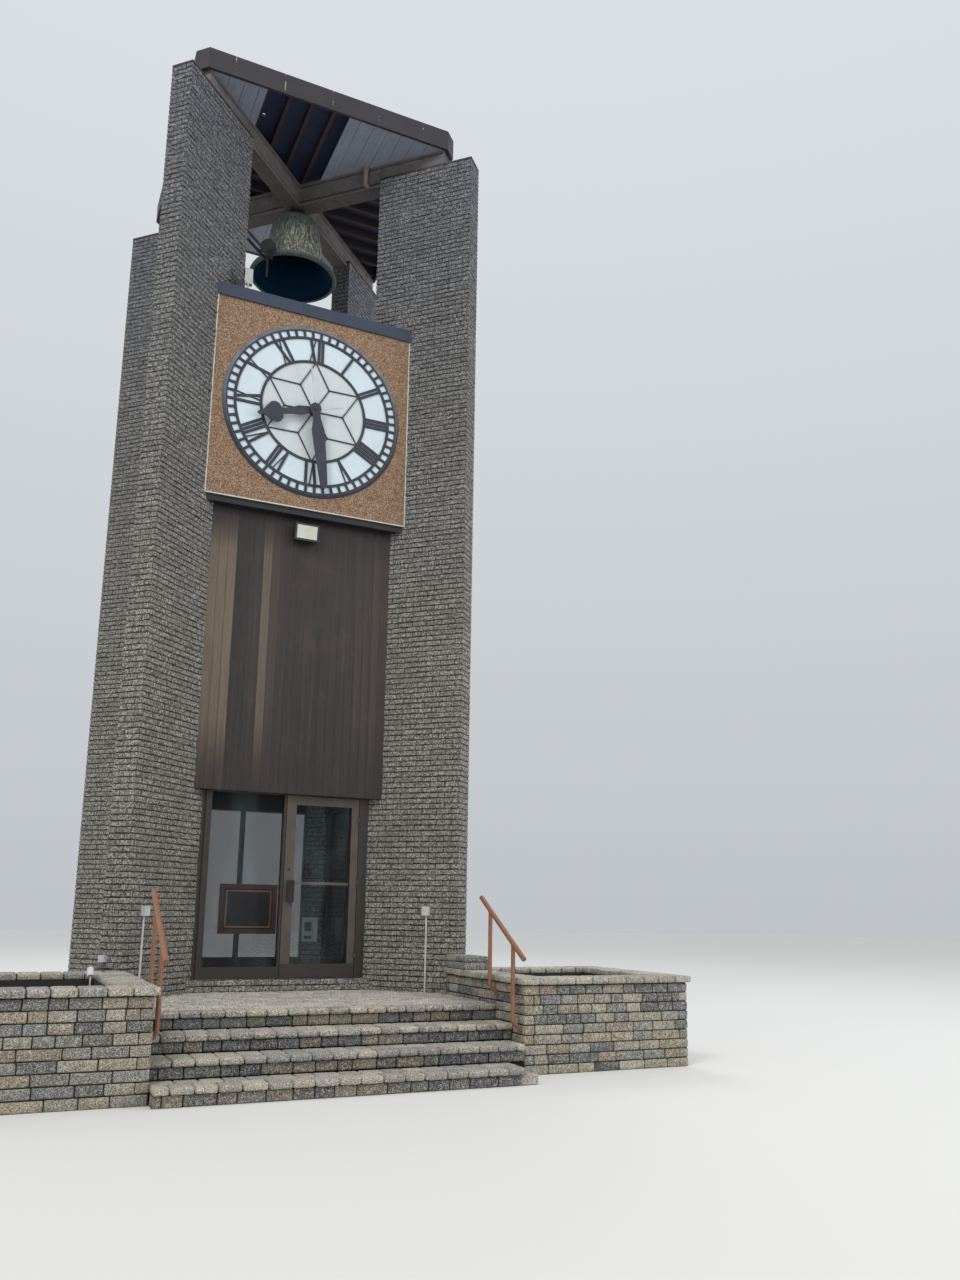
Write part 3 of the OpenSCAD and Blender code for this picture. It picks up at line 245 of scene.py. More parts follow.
def linear(rgb, factor=1.0):
    """A colour written as 8-bit sRGB, as linear values times a factor."""
    values = [((c / 255 + 0.055) / 1.055) ** 2.4 if c > 10 else c / 255 / 12.92 for c in rgb]
    return tuple(factor * value for value in values)


class Shader:
    """A material's node tree with a Principled shader, built by short calls.

    Arguments are numbers, linear colours or the output sockets that other calls return. Textures
    lie in the shared frame: a node's object sits at the frame's origin.
    """

    def __init__(self, name, roughness, metallic=0.0):
        self.material = bpy.data.materials.new(name)
        self.material.use_nodes = True
        self.tree = self.material.node_tree
        self.bsdf = self.tree.nodes["Principled BSDF"]
        self.set("Roughness", roughness)
        self.set("Metallic", metallic)
        coordinates = self.node("ShaderNodeTexCoord")
        self.place = coordinates.outputs["Object"]
        self.normal = coordinates.outputs["Normal"]

    def node(self, kind, **values):
        node = self.tree.nodes.new(kind)
        for key, value in values.items():
            setattr(node, key, value)
        return node

    def link(self, value, socket):
        """Feeds a socket from another one, or gives it a value of its own."""
        if isinstance(value, bpy.types.NodeSocket):
            self.tree.links.new(value, socket)
        else:
            socket.default_value = (*value, 1) if socket.type == "RGBA" else value

    def set(self, socket, value):
        self.link(value, self.bsdf.inputs[socket])

    def fed(self, node, *values):
        """Feeds a node's first inputs in turn, and returns the node."""
        for value, socket in zip(values, node.inputs):
            self.link(value, socket)
        return node

    def noise(self, scale, detail, rough=0.55):
        """Noise at one scale, or drawn out along an axis by three of them."""
        node = self.node("ShaderNodeTexNoise")
        place = self.place
        if isinstance(scale, tuple):
            mapping = self.node("ShaderNodeMapping")
            self.link(place, mapping.inputs["Vector"])
            mapping.inputs["Scale"].default_value = scale
            place, scale = mapping.outputs["Vector"], 1.0
        for socket, value in (("Vector", place), ("Scale", scale), ("Detail", detail), ("Roughness", rough)):
            self.link(value, node.inputs[socket])
        return node.outputs["Fac"]

    def tint(self):
        """The meshes' own tone, from 0 to 1."""
        return self.node("ShaderNodeAttribute", attribute_name="tint").outputs["Fac"]

    def axis(self, k):
        """Place along X, Y or Z in the frame, for k = 0, 1 or 2."""
        return self.fed(self.node("ShaderNodeSeparateXYZ"), self.place).outputs[k]

    def ramp(self, value, stops, constant=False):
        """A ramp of linear colours."""
        node = self.node("ShaderNodeValToRGB")
        ramp = node.color_ramp
        ramp.interpolation = "CONSTANT" if constant else "LINEAR"
        while len(ramp.elements) < len(stops):
            ramp.elements.new(0.5)
        for element, (at, color) in zip(ramp.elements, stops):
            element.position = at
            element.color = (*color, 1)
        return self.fed(node, value).outputs["Color"]

    def colors(self, value, stops, constant=False):
        """A ramp of colours written as 8-bit sRGB."""
        return self.ramp(value, [(at, linear(rgb)) for at, rgb in stops], constant)

    def mask(self, value, stops):
        """A ramp of shares."""
        return self.ramp(value, [(at, (share, share, share)) for at, share in stops])

    def levels(self, value, low, high, to_low=0.0, to_high=1.0):
        """Maps low..high to another range, and holds its ends beyond them."""
        node = self.node("ShaderNodeMapRange")
        return self.fed(node, value, low, high, to_low, to_high).outputs["Result"]

    def math(self, operation, a, b=0.0):
        return self.fed(self.node("ShaderNodeMath", operation=operation), a, b).outputs[0]

    def vector(self, operation, a, b, output="Value"):
        return self.fed(self.node("ShaderNodeVectorMath", operation=operation), a, b).outputs[output]

    def mix(self, share, a, b, blend="MIX"):
        node = self.node("ShaderNodeMix", data_type="RGBA", blend_type=blend)
        self.link(share, node.inputs["Factor"])
        self.link(a, node.inputs["A"])
        self.link(b, node.inputs["B"])
        return node.outputs["Result"]

    def over(self, base, value, low, high, share, rgb, factor=1.0):
        """Lays an 8-bit colour over the base: none of it where value is low, the whole share at high."""
        return self.mix(self.levels(value, low, high, 0.0, share), base, linear(rgb, factor))

    def times(self, base, factor):
        return self.mix(1.0, base, factor, "MULTIPLY")

    def surface(self, base, relief, strength, distance):
        """Sets the colour and the relief, and returns the material."""
        self.set("Base Color", base)
        bump = self.node("ShaderNodeBump")
        bump.inputs["Strength"].default_value = strength
        bump.inputs["Distance"].default_value = distance
        self.link(relief, bump.inputs["Height"])
        self.set("Normal", bump.outputs["Normal"])
        return self.material


def brick_material():
    """Split brick with painted shade in the pits between pale broken faces and along each brick's edges, and
    darker and bluer up the tower as painted shade.
    """
    s = Shader("brick_rock_face", roughness=0.95)
    broken = s.noise(48, 5, 0.85)
    grit = s.noise(120, 3, 0.7)
    # The dark pits are painted shade in the hollows of the broken faces
    base = s.colors(broken, [(0.4, (30, 30, 30)), (0.5, (102, 100, 95)), (0.6, (214, 211, 203))])
    base = s.mix(0.3, base, s.colors(grit, [(0.35, (56, 55, 54)), (0.65, (170, 167, 160))]))
    base = s.over(base, s.noise(1.7, 3), 0.45, 0.7, 0.2, (104, 96, 86))
    # The tint's low end paints shade along each brick's edges and under its lip
    base = s.times(base, s.ramp(s.tint(), [(0.0, (0.12, 0.12, 0.12)), (0.22, (1.02, 1.02, 1.03)),
                                           (1.0, (1.28, 1.26, 1.23))]))
    # Painted shade: the bricks darken and turn bluer towards the top of the tower
    painted_tower_shade = s.levels(s.axis(2), 1.0, 11.5)
    base = s.times(base, s.ramp(painted_tower_shade, [(0.0, (1.0, 0.99, 0.96)), (0.35, (0.94, 0.935, 0.92)),
                                       (1.0, (0.54, 0.58, 0.7))]))
    return s.surface(base, s.math("ADD", broken, s.math("MULTIPLY", grit, 0.5)), 1.0, 0.008)


def mortar_material():
    s = Shader("mortar_dark", roughness=1.0)
    base = s.colors(s.noise(40, 3), [(0.3, (34, 33, 32)), (0.7, (62, 60, 57))])
    return s.surface(base, s.noise(120, 2), 0.5, 0.002)


def block_material(name, tones, shade):
    """Tumbled concrete blocks, each in one of the tones, pitted and worn pale in places."""
    s = Shader(name, roughness=0.93)
    stops = [(i / len(tones), linear(rgb, shade)) for i, rgb in enumerate(tones)]
    base = s.ramp(s.tint(), stops, constant=True)
    mottled = s.noise(22, 4, 0.7)
    base = s.over(base, mottled, 0.5, 0.7, 0.35, (204, 198, 184), shade)
    base = s.over(base, mottled, 0.46, 0.3, 0.35, (78, 75, 72), shade)
    pits = s.noise(88, 4, 0.8)
    base = s.mix(0.9, base, s.ramp(pits, [(0.37, linear((70, 69, 67))), (0.47, linear((206, 204, 200))),
                                          (0.56, (1.0, 1.0, 0.98))]), "MULTIPLY")
    base = s.over(base, pits, 0.55, 0.68, 0.7, (230, 224, 210), shade)
    return s.surface(base, s.math("ADD", pits, mottled), 0.75, 0.006)


def aggregate_material():
    """Fine tan stones set in the face of the clock panels."""
    s = Shader("aggregate_tan", roughness=0.9)
    stones = s.node("ShaderNodeTexVoronoi")
    s.link(s.place, stones.inputs["Vector"])
    s.link(120, stones.inputs["Scale"])
    shade = s.node("ShaderNodeSeparateColor")
    s.link(stones.outputs["Color"], shade.inputs["Color"])
    base = s.colors(shade.outputs["Red"], [(0.0, (80, 60, 46)), (0.14, (118, 93, 72)),
                                           (0.4, (139, 113, 89)), (0.7, (126, 101, 80)),
                                           (0.9, (176, 154, 131))], constant=True)
    base = s.over(base, s.noise(5.5, 5, 0.7), 0.4, 0.68, 0.45, (124, 90, 63))
    grains = s.noise(76, 4, 0.85)
    base = s.over(base, grains, 0.52, 0.6, 0.85, (198, 164, 134))
    base = s.over(base, grains, 0.47, 0.38, 0.9, (60, 44, 35))
    return s.surface(base, s.math("ADD", stones.outputs["Distance"], grains), 0.5, 0.003)


def cladding_material(foot, top):
    """Bronze sheet in vertical bands that fade out at the foot and under the sill, darker towards the foot
    and in painted shadow under the sill, with runs and stains.
    """
    s = Shader("bronze_cladding", roughness=0.42, metallic=0.25)
    height = s.levels(s.axis(2), foot, top)
    faded = s.mask(height, [(0.0, 0.85), (0.1, 0.5), (0.24, 0), (0.84, 0), (0.95, 0.6), (1.0, 0.8)])
    band = s.mix(faded, s.tint(), (0.4, 0.4, 0.4))
    base = s.colors(band, [(0.0, (36, 34, 34)), (0.35, (60, 54, 53)), (0.6, (82, 72, 66)),
                           (1.0, (142, 126, 105))])
    base = s.over(base, s.noise(2.4, 6, 0.7), 0.5, 0.72, 0.32, (98, 80, 68))
    streaks = s.noise((13, 13, 0.3), 5, 0.65)
    base = s.over(base, streaks, 0.48, 0.75, 0.35, (104, 94, 85))
    fine = s.noise((150, 150, 1.6), 3, 0.6)
    base = s.over(base, fine, 0.45, 0.7, 0.4, (38, 35, 35))
    # Darker towards the foot, and painted shadow of the sill over the top of the sheet
    base = s.times(base, s.ramp(height, [(0.0, (0.66, 0.65, 0.65)), (0.2, (0.78, 0.77, 0.77)),
                                         (0.55, (0.9, 0.89, 0.89)), (0.85, (0.83, 0.82, 0.82)),
                                         (1.0, (0.45, 0.45, 0.46))]))
    s.set("Roughness", s.levels(streaks, 0.3, 0.7, 0.34, 0.58))
    return s.surface(base, fine, 0.25, 0.0015)


def painted(name, rgb, roughness=0.45, metallic=0.0, wear=None, wear_share=0.25, grain=60, relief=0.0008):
    """Painted or anodised metal: cloudy tone, dusty roughness and a second colour where it is worn."""
    s = Shader(name, roughness, metallic)
    base = s.over(linear(rgb), s.noise(4.5, 5, 0.6), 0.35, 0.7, 0.6, rgb, 0.72)
    if wear:
        base = s.over(base, s.noise(grain, 4, 0.7), 0.62 - wear_share * 0.2, 0.72, 0.8, wear)
    s.set("Roughness", s.levels(s.noise(11, 4, 0.6), 0.3, 0.7, roughness - 0.1, roughness + 0.15))
    return s.surface(base, s.noise(grain * 2, 3), 0.3, relief)


def sheet_metal(name, rgb, cloudy, factor=1.0):
    """Start of a weathered sheet, as (shader, base colour): rgb clouded over by another colour."""
    s = Shader(name, roughness=0.5, metallic=0.2)
    cloud = s.noise(2.5, 4, 0.6)
    s.set("Roughness", s.levels(cloud, 0.3, 0.7, 0.4, 0.7))
    return s, s.over(linear(rgb), cloud, 0.35, 0.7, 0.5, cloudy, factor)


def streaked_metal(name, rgb, streak, share):
    """Sheet metal with rain streaks that run straight down."""
    s, base = sheet_metal(name, rgb, rgb, 0.7)
    base = s.over(base, s.noise((22, 22, 0.8), 5, 0.7), 0.56, 0.8, share, streak)
    return s.surface(base, s.noise(90, 2), 0.2, 0.0008)


def fascia_material(first_seam, seam_pitch):
    """Dark roof sheet with a broken pale line down each of its seams."""
    s, base = sheet_metal("roof_metal", (58, 55, 61), (46, 44, 50))
    flecks = s.levels(s.noise((9, 9, 22), 3, 0.7), 0.5, 0.6)
    for k in (0, 1):
        away = s.math("PINGPONG", s.math("SUBTRACT", s.axis(k), first_seam), seam_pitch / 2)
        seam = s.math("MULTIPLY", s.levels(away, 0.009, 0.004), flecks)
        base = s.mix(s.math("MULTIPLY", seam, 0.7), base, linear((180, 178, 168)))
    return s.surface(base, s.noise(90, 2), 0.2, 0.0008)


def dial_radius(s, middle):
    """Distance from a dial's centre, the same on all four dials: middle is (depth, height) of the centre."""
    depth, height = middle
    away = s.vector("DISTANCE", s.place, (0, 0, height))
    square = s.math("MULTIPLY", away, away)
    return s.math("SQRT", s.math("MAXIMUM", s.math("SUBTRACT", square, depth * depth), 0.0))


def opal_material(middle, inner_radius):
    """White glass, a little greyer within the inner ring, with soft runs and smudges."""
    s = Shader("dial_opal", roughness=0.25)
    base = s.over(linear((208, 221, 228)), dial_radius(s, middle), inner_radius, inner_radius - 0.01, 1.0,
                  (202, 209, 211))
    base = s.over(base, s.noise(3.2, 6, 0.65), 0.5, 0.75, 0.35, (176, 186, 190))
    base = s.over(base, s.noise((14, 14, 1.2), 5, 0.7), 0.56, 0.72, 0.35, (160, 168, 170))
    return s.surface(base, s.noise(6, 2), 0.08, 0.002)


def dial_iron_material(middle, radius):
    """Dark painted iron; the outer rim's bevel carries a painted highlight, most of all over the upper half.
    """
    s = Shader("dial_iron", roughness=0.5)
    base = s.over(linear((50, 54, 65)), s.noise(6, 5), 0.35, 0.7, 1.0, (34, 38, 49))
    base = s.over(base, s.noise(60, 4, 0.7), 0.58, 0.72, 0.7, (112, 118, 128))
    # Painted highlight where light would catch the outer rim's bevel, strongest over the upper half
    rim = s.levels(dial_radius(s, middle), radius - 0.034, radius - 0.026)
    high = s.levels(s.axis(2), middle[1] - 0.6, middle[1] + 0.5)
    patchy = s.levels(s.noise(9, 5, 0.7), 0.35, 0.6, 0.4, 1.0)
    rim_highlight = s.math("MULTIPLY", s.math("MULTIPLY", rim, high), patchy)
    return s.surface(s.mix(rim_highlight, base, linear((118, 126, 136))), s.noise(120, 3), 0.3, 0.0008)


def glass_material(name, dark, pale, clear):
    """Pane with a painted reflection of sky in pale patches: mostly see-through face on and more of a mirror
    at a slant.
    """
    s = Shader(name, roughness=0.02)
    sky_reflection = s.noise((2.2, 2.2, 0.8), 4, 0.6)
    # Painted reflection: pale patches of sky over the pane's dark colour
    s.set("Base Color", s.over(linear(dark), sky_reflection, 0.42, 0.6, 1.0, pale))
    slant = s.node("ShaderNodeLayerWeight")
    slant.inputs["Blend"].default_value = 0.35
    s.set("Alpha", s.levels(slant.outputs["Facing"], 0.0, 1.0, clear, 0.95))
    return s.material


def bell_material(mouth, top):
    """Bronze with cream runs down the waist, darker on the hammer's side as its painted shadow, and painted
    dark shade in the hollow.
    """
    s = Shader("bell_bronze", roughness=0.6, metallic=0.3)
    runs = s.noise((46, 46, 3.4), 6, 0.75)
    mottle = s.noise(26, 5, 0.7)
    base = s.colors(runs, [(0.38, (46, 54, 56)), (0.47, (94, 100, 97)), (0.54, (150, 149, 133)),
                           (0.62, (226, 219, 192))])
    height = s.levels(s.axis(2), mouth, top)
    low_waist = s.mask(height, [(0.02, 0), (0.12, 1), (0.45, 1), (0.85, 0)])
    clear_of_hammer_shadow = s.vector("DOT_PRODUCT", s.place, HAMMER_AWAY)
    # Painted shadow of the hammer: on its side the runs are darker
    pale = s.math("MULTIPLY", low_waist, s.levels(clear_of_hammer_shadow, -0.42, 0.05))
    base = s.mix(pale, s.colors(runs, [(0.34, (38, 47, 49)), (0.66, (112, 118, 110))]), base)
    base = s.over(base, mottle, 0.46, 0.66, 0.55, (72, 80, 78))
    # The hollow is where the surface looks towards the bell's axis; it is painted dark blue as shade, with
    # its specular turned down
    outward = s.vector("MULTIPLY", s.place, (1, 1, 0), "Vector")
    hollow_shade = s.levels(s.vector("DOT_PRODUCT", outward, s.normal), 0.0, -0.02)
    s.set("Specular IOR Level", s.levels(hollow_shade, 0.0, 1.0, 0.5, 0.05))
    s.set("Roughness", s.levels(mottle, 0.3, 0.7, 0.5, 0.85))
    return s.surface(s.mix(hollow_shade, base, linear((14, 44, 68))), s.math("ADD", runs, mottle), 0.35, 0.003)


def board_material(name, rgb, along=1):
    """Painted boards with faint grain along them."""
    s = Shader(name, roughness=0.7)
    grain = s.noise(tuple(1.5 if k == along else 40.0 for k in range(3)), 5, 0.65)
    base = s.over(linear(rgb), grain, 0.35, 0.7, 0.5, rgb, 0.62)
    base = s.over(base, s.noise(3, 5, 0.65), 0.5, 0.75, 0.5, rgb, 0.5)
    return s.surface(base, grain, 0.3, 0.0015)


def beam_material(foot, top):
    """Weathered steel, with painted shade underneath and in the corners where the flanges meet the web."""
    s = Shader("brown_steel", roughness=0.8)
    height = s.levels(s.axis(2), foot, top)
    # The dark bands are painted shade: under the beam and in the grooves between web and flanges
    base = s.colors(height, [(0.0, (78, 72, 74)), (0.02, (112, 105, 102)), (0.1, (108, 101, 99)),
                             (0.14, (34, 34, 40)), (0.2, (104, 99, 99)), (0.78, (112, 106, 105)),
                             (0.83, (46, 46, 52)), (0.88, (108, 102, 101))])
    base = s.over(base, s.noise(4, 6, 0.7), 0.45, 0.7, 0.6, (60, 50, 46))
    base = s.over(base, s.noise((30, 30, 2.5), 5, 0.7), 0.55, 0.75, 0.4, (128, 116, 106))
    return s.surface(base, s.noise(60, 3), 0.3, 0.001)


def soil_material():
    s = Shader("soil", roughness=1.0)
    crumbs = s.noise(55, 6, 0.7)
    base = s.colors(crumbs, [(0.3, (38, 29, 22)), (0.55, (78, 61, 46)), (0.75, (122, 100, 78))])
    return s.surface(base, crumbs, 1.0, 0.012)


def two_tone(name, direction, level, below, above, roughness=0.5):
    """Painted metal of one tone up to a level along a direction and another beyond it."""
    s = Shader(name, roughness)
    along = s.vector("DOT_PRODUCT", s.place, tuple(direction))
    cloud = s.noise(5, 5)
    tones = [s.over(linear(rgb), cloud, 0.35, 0.7, 1.0, rgb, 0.7) for rgb in (below, above)]
    base = s.mix(s.levels(along, level - 0.003, level + 0.003), *tones)
    return s.surface(base, s.noise(120, 3), 0.3, 0.0008)


def hand_material(name, side, angle, hub_z):
    """Dark iron with the short tail behind the hub painted pale."""
    _, rightward = side_axes(side)
    direction = rightward * math.sin(angle) + UP * math.cos(angle)
    level = hub_z * math.cos(angle) - TAIL_FROM
    return two_tone(name, direction, level, (206, 212, 214), (54, 58, 70))


# The parts' looks

CAP_TONES = [(160, 155, 147), (148, 142, 135), (168, 163, 151), (140, 137, 135), (157, 148, 139),
             (165, 157, 142), (144, 139, 132), (152, 146, 144), (172, 166, 152), (136, 133, 129)]
# Darker tones for the risers, as painted shade under the nosings
SHADED_RISER_TONES = [(112, 110, 106), (98, 98, 100), (128, 120, 106), (88, 88, 91), (118, 110, 102),
               (136, 128, 114), (104, 101, 97), (92, 96, 100)]
WALL_TONES = [(156, 150, 137), (120, 122, 122), (162, 152, 133), (138, 135, 129), (104, 106, 107),
              (147, 134, 120), (128, 127, 121), (168, 162, 149), (110, 108, 104), (153, 143, 124),
              (132, 134, 133), (146, 142, 134), (94, 93, 93), (160, 154, 143)]
PAVER_TONES = [(158, 154, 148), (148, 144, 138), (166, 161, 154), (142, 139, 135), (160, 153, 146)]
HAND_ANGLES = {"minute": math.radians(171.6), "hour": math.radians(254.3)}
TAIL_FROM = 0.085                    # from the hub's centre to a hand's pale tail
HAMMER_AWAY = (0.9, -0.42, 0)        # from the hammer to the bell's far side, out of the hammer's painted shadow
SEAM_AT, SEAM_PITCH = -0.02, 0.66    # seams of the roof's edge, along X and along Y

_, dial_face = span("dial_skeletons", (0, -1, 0))
dial_low, dial_high = span("dial_skeletons", UP)
DIAL_MIDDLE = (dial_face - 0.01, (dial_low + dial_high) / 2)
DIAL_RADIUS = dial_high - DIAL_MIDDLE[1]
DOOR_RAIL_TOP = span("door_glass", UP)[0] + 0.004
DOOR_MIDDLE = sum(span("door_leaf", (0, 1, 0))) / 2
LAMP_PALE_FROM = -0.985              # X in the belfry lamp where its dark back ends

BRICK = brick_material()
MORTAR = mortar_material()
CAP_BLOCK = block_material("split_block_caps", CAP_TONES, 1.42)
# The risers are darker than the caps: painted shade under the nosings
SHADED_RISER_BLOCK = block_material("split_block_risers", SHADED_RISER_TONES, 1.3)
WALL_BLOCK = block_material("split_block", WALL_TONES, 1.2)
PAVER = block_material("split_block_paving", PAVER_TONES, 1.8)
JOINT = painted("joint_sand", (34, 33, 31), 0.95, grain=140, relief=0.003)
WALL_CORE = painted("wall_core", (54, 51, 47), 0.95, relief=0.004)
CLADDING = cladding_material(*span("cladding_front", UP))
GLASS = glass_material("clear_glass", (40, 48, 52), (104, 122, 128), 0.1)
BRONZE_DARK = painted("bronze_dark", (64, 57, 51), 0.4, 0.3)
BLACK = painted("black_metal", (34, 34, 38), 0.5, wear=(80, 76, 72), wear_share=0.1)
CONCRETE = painted("concrete", (150, 147, 140), 0.9, grain=80, relief=0.002)
COPPER = painted("copper_paint", (152, 104, 80), 0.42, wear=(104, 78, 64), wear_share=0.4, grain=30)
BOX_GREY = painted("box_grey", (214, 216, 214), 0.5, wear=(130, 130, 126))
LAMP = painted("lamp_grey", (50, 52, 56), 0.5)
LENS = painted("lamp_lens", (214, 214, 200), 0.25)
BOARD_FIELD = painted("board_field", (70, 46, 40), 0.5)
GILT = painted("board_line", (255, 204, 96), 0.4)

NODE_LOOKS = {
    "pier_front_left": MORTAR, "pier_front_right": MORTAR, "pier_back_left": MORTAR,
    "pier_back_right": MORTAR, "sill_walls": MORTAR,
    "pier_caps": painted("cap_metal", (52, 42, 40), 0.55),
    "clock_panels": aggregate_material(),
    "panel_flashings": streaked_metal("slate_metal", (60, 68, 84), (104, 112, 124), 0.25),
    "panel_edge_strips": streaked_metal("white_trim", (206, 205, 196), (120, 112, 100), 0.5),
    "panel_sills": BLACK,
    "dial_glasses": opal_material(DIAL_MIDDLE, 0.60 * DIAL_RADIUS),
    "dial_skeletons": dial_iron_material(DIAL_MIDDLE, DIAL_RADIUS),
    "entrance_frame": BRONZE_DARK, "sidelight_glass": GLASS, "door_glass": GLASS,
    "door_leaf": two_tone("bronze_frame", UP, DOOR_RAIL_TOP, (66, 55, 50), (92, 81, 72), 0.38),
    "door_hardware": two_tone("door_hardware", (0, 1, 0), DOOR_MIDDLE, (28, 24, 23), (158, 146, 132)),
    "window_frames": BRONZE_DARK,
    "window_glass": glass_material("clear_glass_far", (32, 42, 47), (84, 100, 105), 0.5),
    "floor_slab": CONCRETE, "belfry_deck": CONCRETE,
    "crossing_beams": beam_material(*span("crossing_beams", UP)),
    "bell": bell_material(*span("bell", UP)),
    "bell_hanger": BLACK, "hammer_bracket": BLACK, "strike_hammer": BLACK,
    "belfry_lamp": two_tone("belfry_lamp", (1, 0, 0), LAMP_PALE_FROM, (44, 44, 48), (186, 188, 186)),
    "roof_fascia": fascia_material(SEAM_AT, SEAM_PITCH),
    "roof_deck": board_material("dark_deck", (42, 53, 84), along=0),
    "roof_joists": board_material("dark_wood", (58, 46, 48)),
    # The boards' blue cast is painted: the cool colour of the shade under the roof
    "soffit_boards": board_material("grey_boards", (144, 151, 168)),
    "soffit_pipe": painted("pipe_paint", (140, 118, 110), 0.6, wear=(186, 172, 162), wear_share=0.4),
    "landing": JOINT, "steps": JOINT, "planter_left": JOINT, "planter_right": JOINT,
    "planter_soil": soil_material(), "planter_spotlight": BOX_GREY,
    "handrail_left": COPPER, "handrail_right": COPPER,
    "floodlight": LAMP, "junction_boxes": BOX_GREY,
    "display_board": board_material("brown_wood", (156, 98, 80), along=0),
    "meter_box": painted("white_paint", (248, 249, 247)),
}


def dress_nodes():
    """Gives each CAD node its material; each hand has its own, for its tail."""
    looks = dict(NODE_LOOKS)
    for side in SIDES:
        looks["cladding_" + side] = CLADDING
        for kind, angle in HAND_ANGLES.items():
            hand = kind + "_hand_" + side
            looks[hand] = hand_material(hand, side, angle, DIAL_MIDDLE[1])
    for name, obj in NODES.items():
        obj.data.materials.clear()
        obj.data.materials.append(looks[name])


# Brickwork

PIER_ANGLES = {"pier_front_left": 225, "pier_front_right": -45, "pier_back_left": 135, "pier_back_right": 45}
COURSE = 0.0677
BRICK_L = 0.1991
BRICK_JOINT = 0.010
BRICK_BUTT = 0.005       # gap between two bricks of a course
BRICK_DEPTH = 0.007      # how far the faces stand out of the joints, and how much that varies
BRICK_ROUGH = 0.006
END_BOND = 0.45          # first brick of every second course on a pier's narrow faces
LID_DEPTH = 0.10         # bricks on edge on top of a low wall: depth, width, gap, relief
LID_W = 0.075
LID_JOINT = 0.006
LID_RELIEF, LID_ROUGH = 0.003, 0.002


def pier_faces(node, angle):
    """The four upright faces of a pier, as (face, length), the long ones first."""
    along = np.array([math.cos(angle), math.sin(angle), 0.0])
    across = np.array([-math.sin(angle), math.cos(angle), 0.0])
    near, far = span(node, along)
    low, high = span(node, across)
    length, thick = far - near, high - low
    return [
        (frame_of(along * far + across * high, -along, across), length),
        (frame_of(along * near + across * low, along, -across), length),
        (frame_of(along * far + across * low, across, along), thick),
        (frame_of(along * near + across * high, -across, -along), thick),
    ]


def pier_brickwork():
    for node, degrees in PIER_ANGLES.items():
        height = span(node, UP)[1]
        parts = []
        for i, (face, length) in enumerate(pier_faces(node, math.radians(degrees))):
            cells = course_cells(length, height, COURSE, BRICK_L, BRICK_JOINT, BRICK_BUTT,
                                 0.5 if i < 2 else END_BOND)
            parts.append(rock_faces(face, cells, BRICK_DEPTH, BRICK_ROUGH))
        add_parts("bricks_" + node, parts, BRICK)


def sill_brickwork():
    """Brick courses of the low walls under the glazing, with bricks on edge along the top."""
    parts = []
    top = span("sill_walls", UP)[1]
    for side in SIDES:
        outward, rightward = side_axes(side)
        depth, half = outer_face("sill_walls", outward, rightward)
        corner = outward * depth - rightward * half
        cells = course_cells(2 * half, top, COURSE, BRICK_L, BRICK_JOINT, BRICK_BUTT)
        wall = frame_of(corner, rightward, outward)
        parts.append(rock_faces(wall, cells, BRICK_DEPTH, BRICK_ROUGH, corner=False))
        cells = course_cells(2 * half, LID_DEPTH, LID_DEPTH, LID_W, LID_JOINT, LID_JOINT)
        lid = frame_of(corner + UP * top, rightward, UP)
        parts.append(rock_faces(lid, cells, LID_RELIEF, LID_ROUGH, corner=False))
    add_parts("sill_bricks", parts, BRICK)


# Base: steps, landing and planters of tumbled blocks

BLOCK_JOINT = 0.008
BED = 0.002              # half a bed joint of a planter's cap and stub
ROW_END = 0.35           # no joint is tried nearer to a row's end than this share of a block
CORE_IN = 0.014          # how far a core stands back from the blocks' faces

STEP_CAP = 0.062         # thickness of the blocks on a step, and their length
CAP_L = 0.206
CAP_D = 0.20             # depth of the row along the edge, and where the next row begins
SECOND_ROW = 0.206
CAP_STYLE = {"radius": 0.02, "jitter": 0.0025}
TREAD_RADIUS = 0.014     # rounding of the blocks behind the edge row
NOSING = 0.030           # how far the edge stands out over the riser
RISE = 0.160
RISER_BED = 0.003
RISER_D = 0.18
RISER_STYLE = {"vary": 0.5, "jitter": 0.0025}
STEP_RISER_L, LANDING_RISER_L = 0.215, 0.22
STEP_STARTS = (0.6, 1.0, 0.8)        # first joint of the rows in turn, in blocks
BOTTOM_END_OUT = 0.050   # the half block that ends the bottom step stands out this far

PAVER_L = 0.205
PAVER_COURSE = 0.152
PAVER_JOINT = 0.014
PAVER_T = 0.05
PAVER_STYLE = {"vary": 0.05, "radius": 0.008, "joint": PAVER_JOINT}
PAVER_STARTS = (0.5, 1.0)
PAVING_FROM, PAVING_TO = 0.203, 0.004    # in from the landing's front edge, and from its back
PAVING_LEAST = 0.03      # no row is narrower
PIER_GAP = 0.012         # between paving and piers
PIER_TIPS = 2.125        # the paving is narrower nearer to the tower than this
LANDING_NECKS = [(1.3, -2.13, -1.55), (1.1, -1.55, -1.314)]    # half width, front and back of its core

PLANTER_COURSE = 0.0969
PLANTER_TOP = 0.872
PLANTER_CAP = 0.070
PLANTER_CAP_OUT = 0.038
WALL_T = 0.300
BLOCK_D = 0.11
LONG_BLOCK = 0.290       # in the lower courses
SHORT_BLOCK = 0.200      # in the upper ones
WALL_STYLE = {"vary": 0.35, "jitter": 0.003}
WALL_STARTS = (1.0, 0.45, 0.75)
SLAB_STYLE = {"vary": 0.15, "radius": 0.018}
STUB_L = 0.56
STUB_COURSE = 0.082      # height of the stub's lower course, and the blocks' lengths in its two courses
STUB_BLOCKS = (0.20, 0.28)


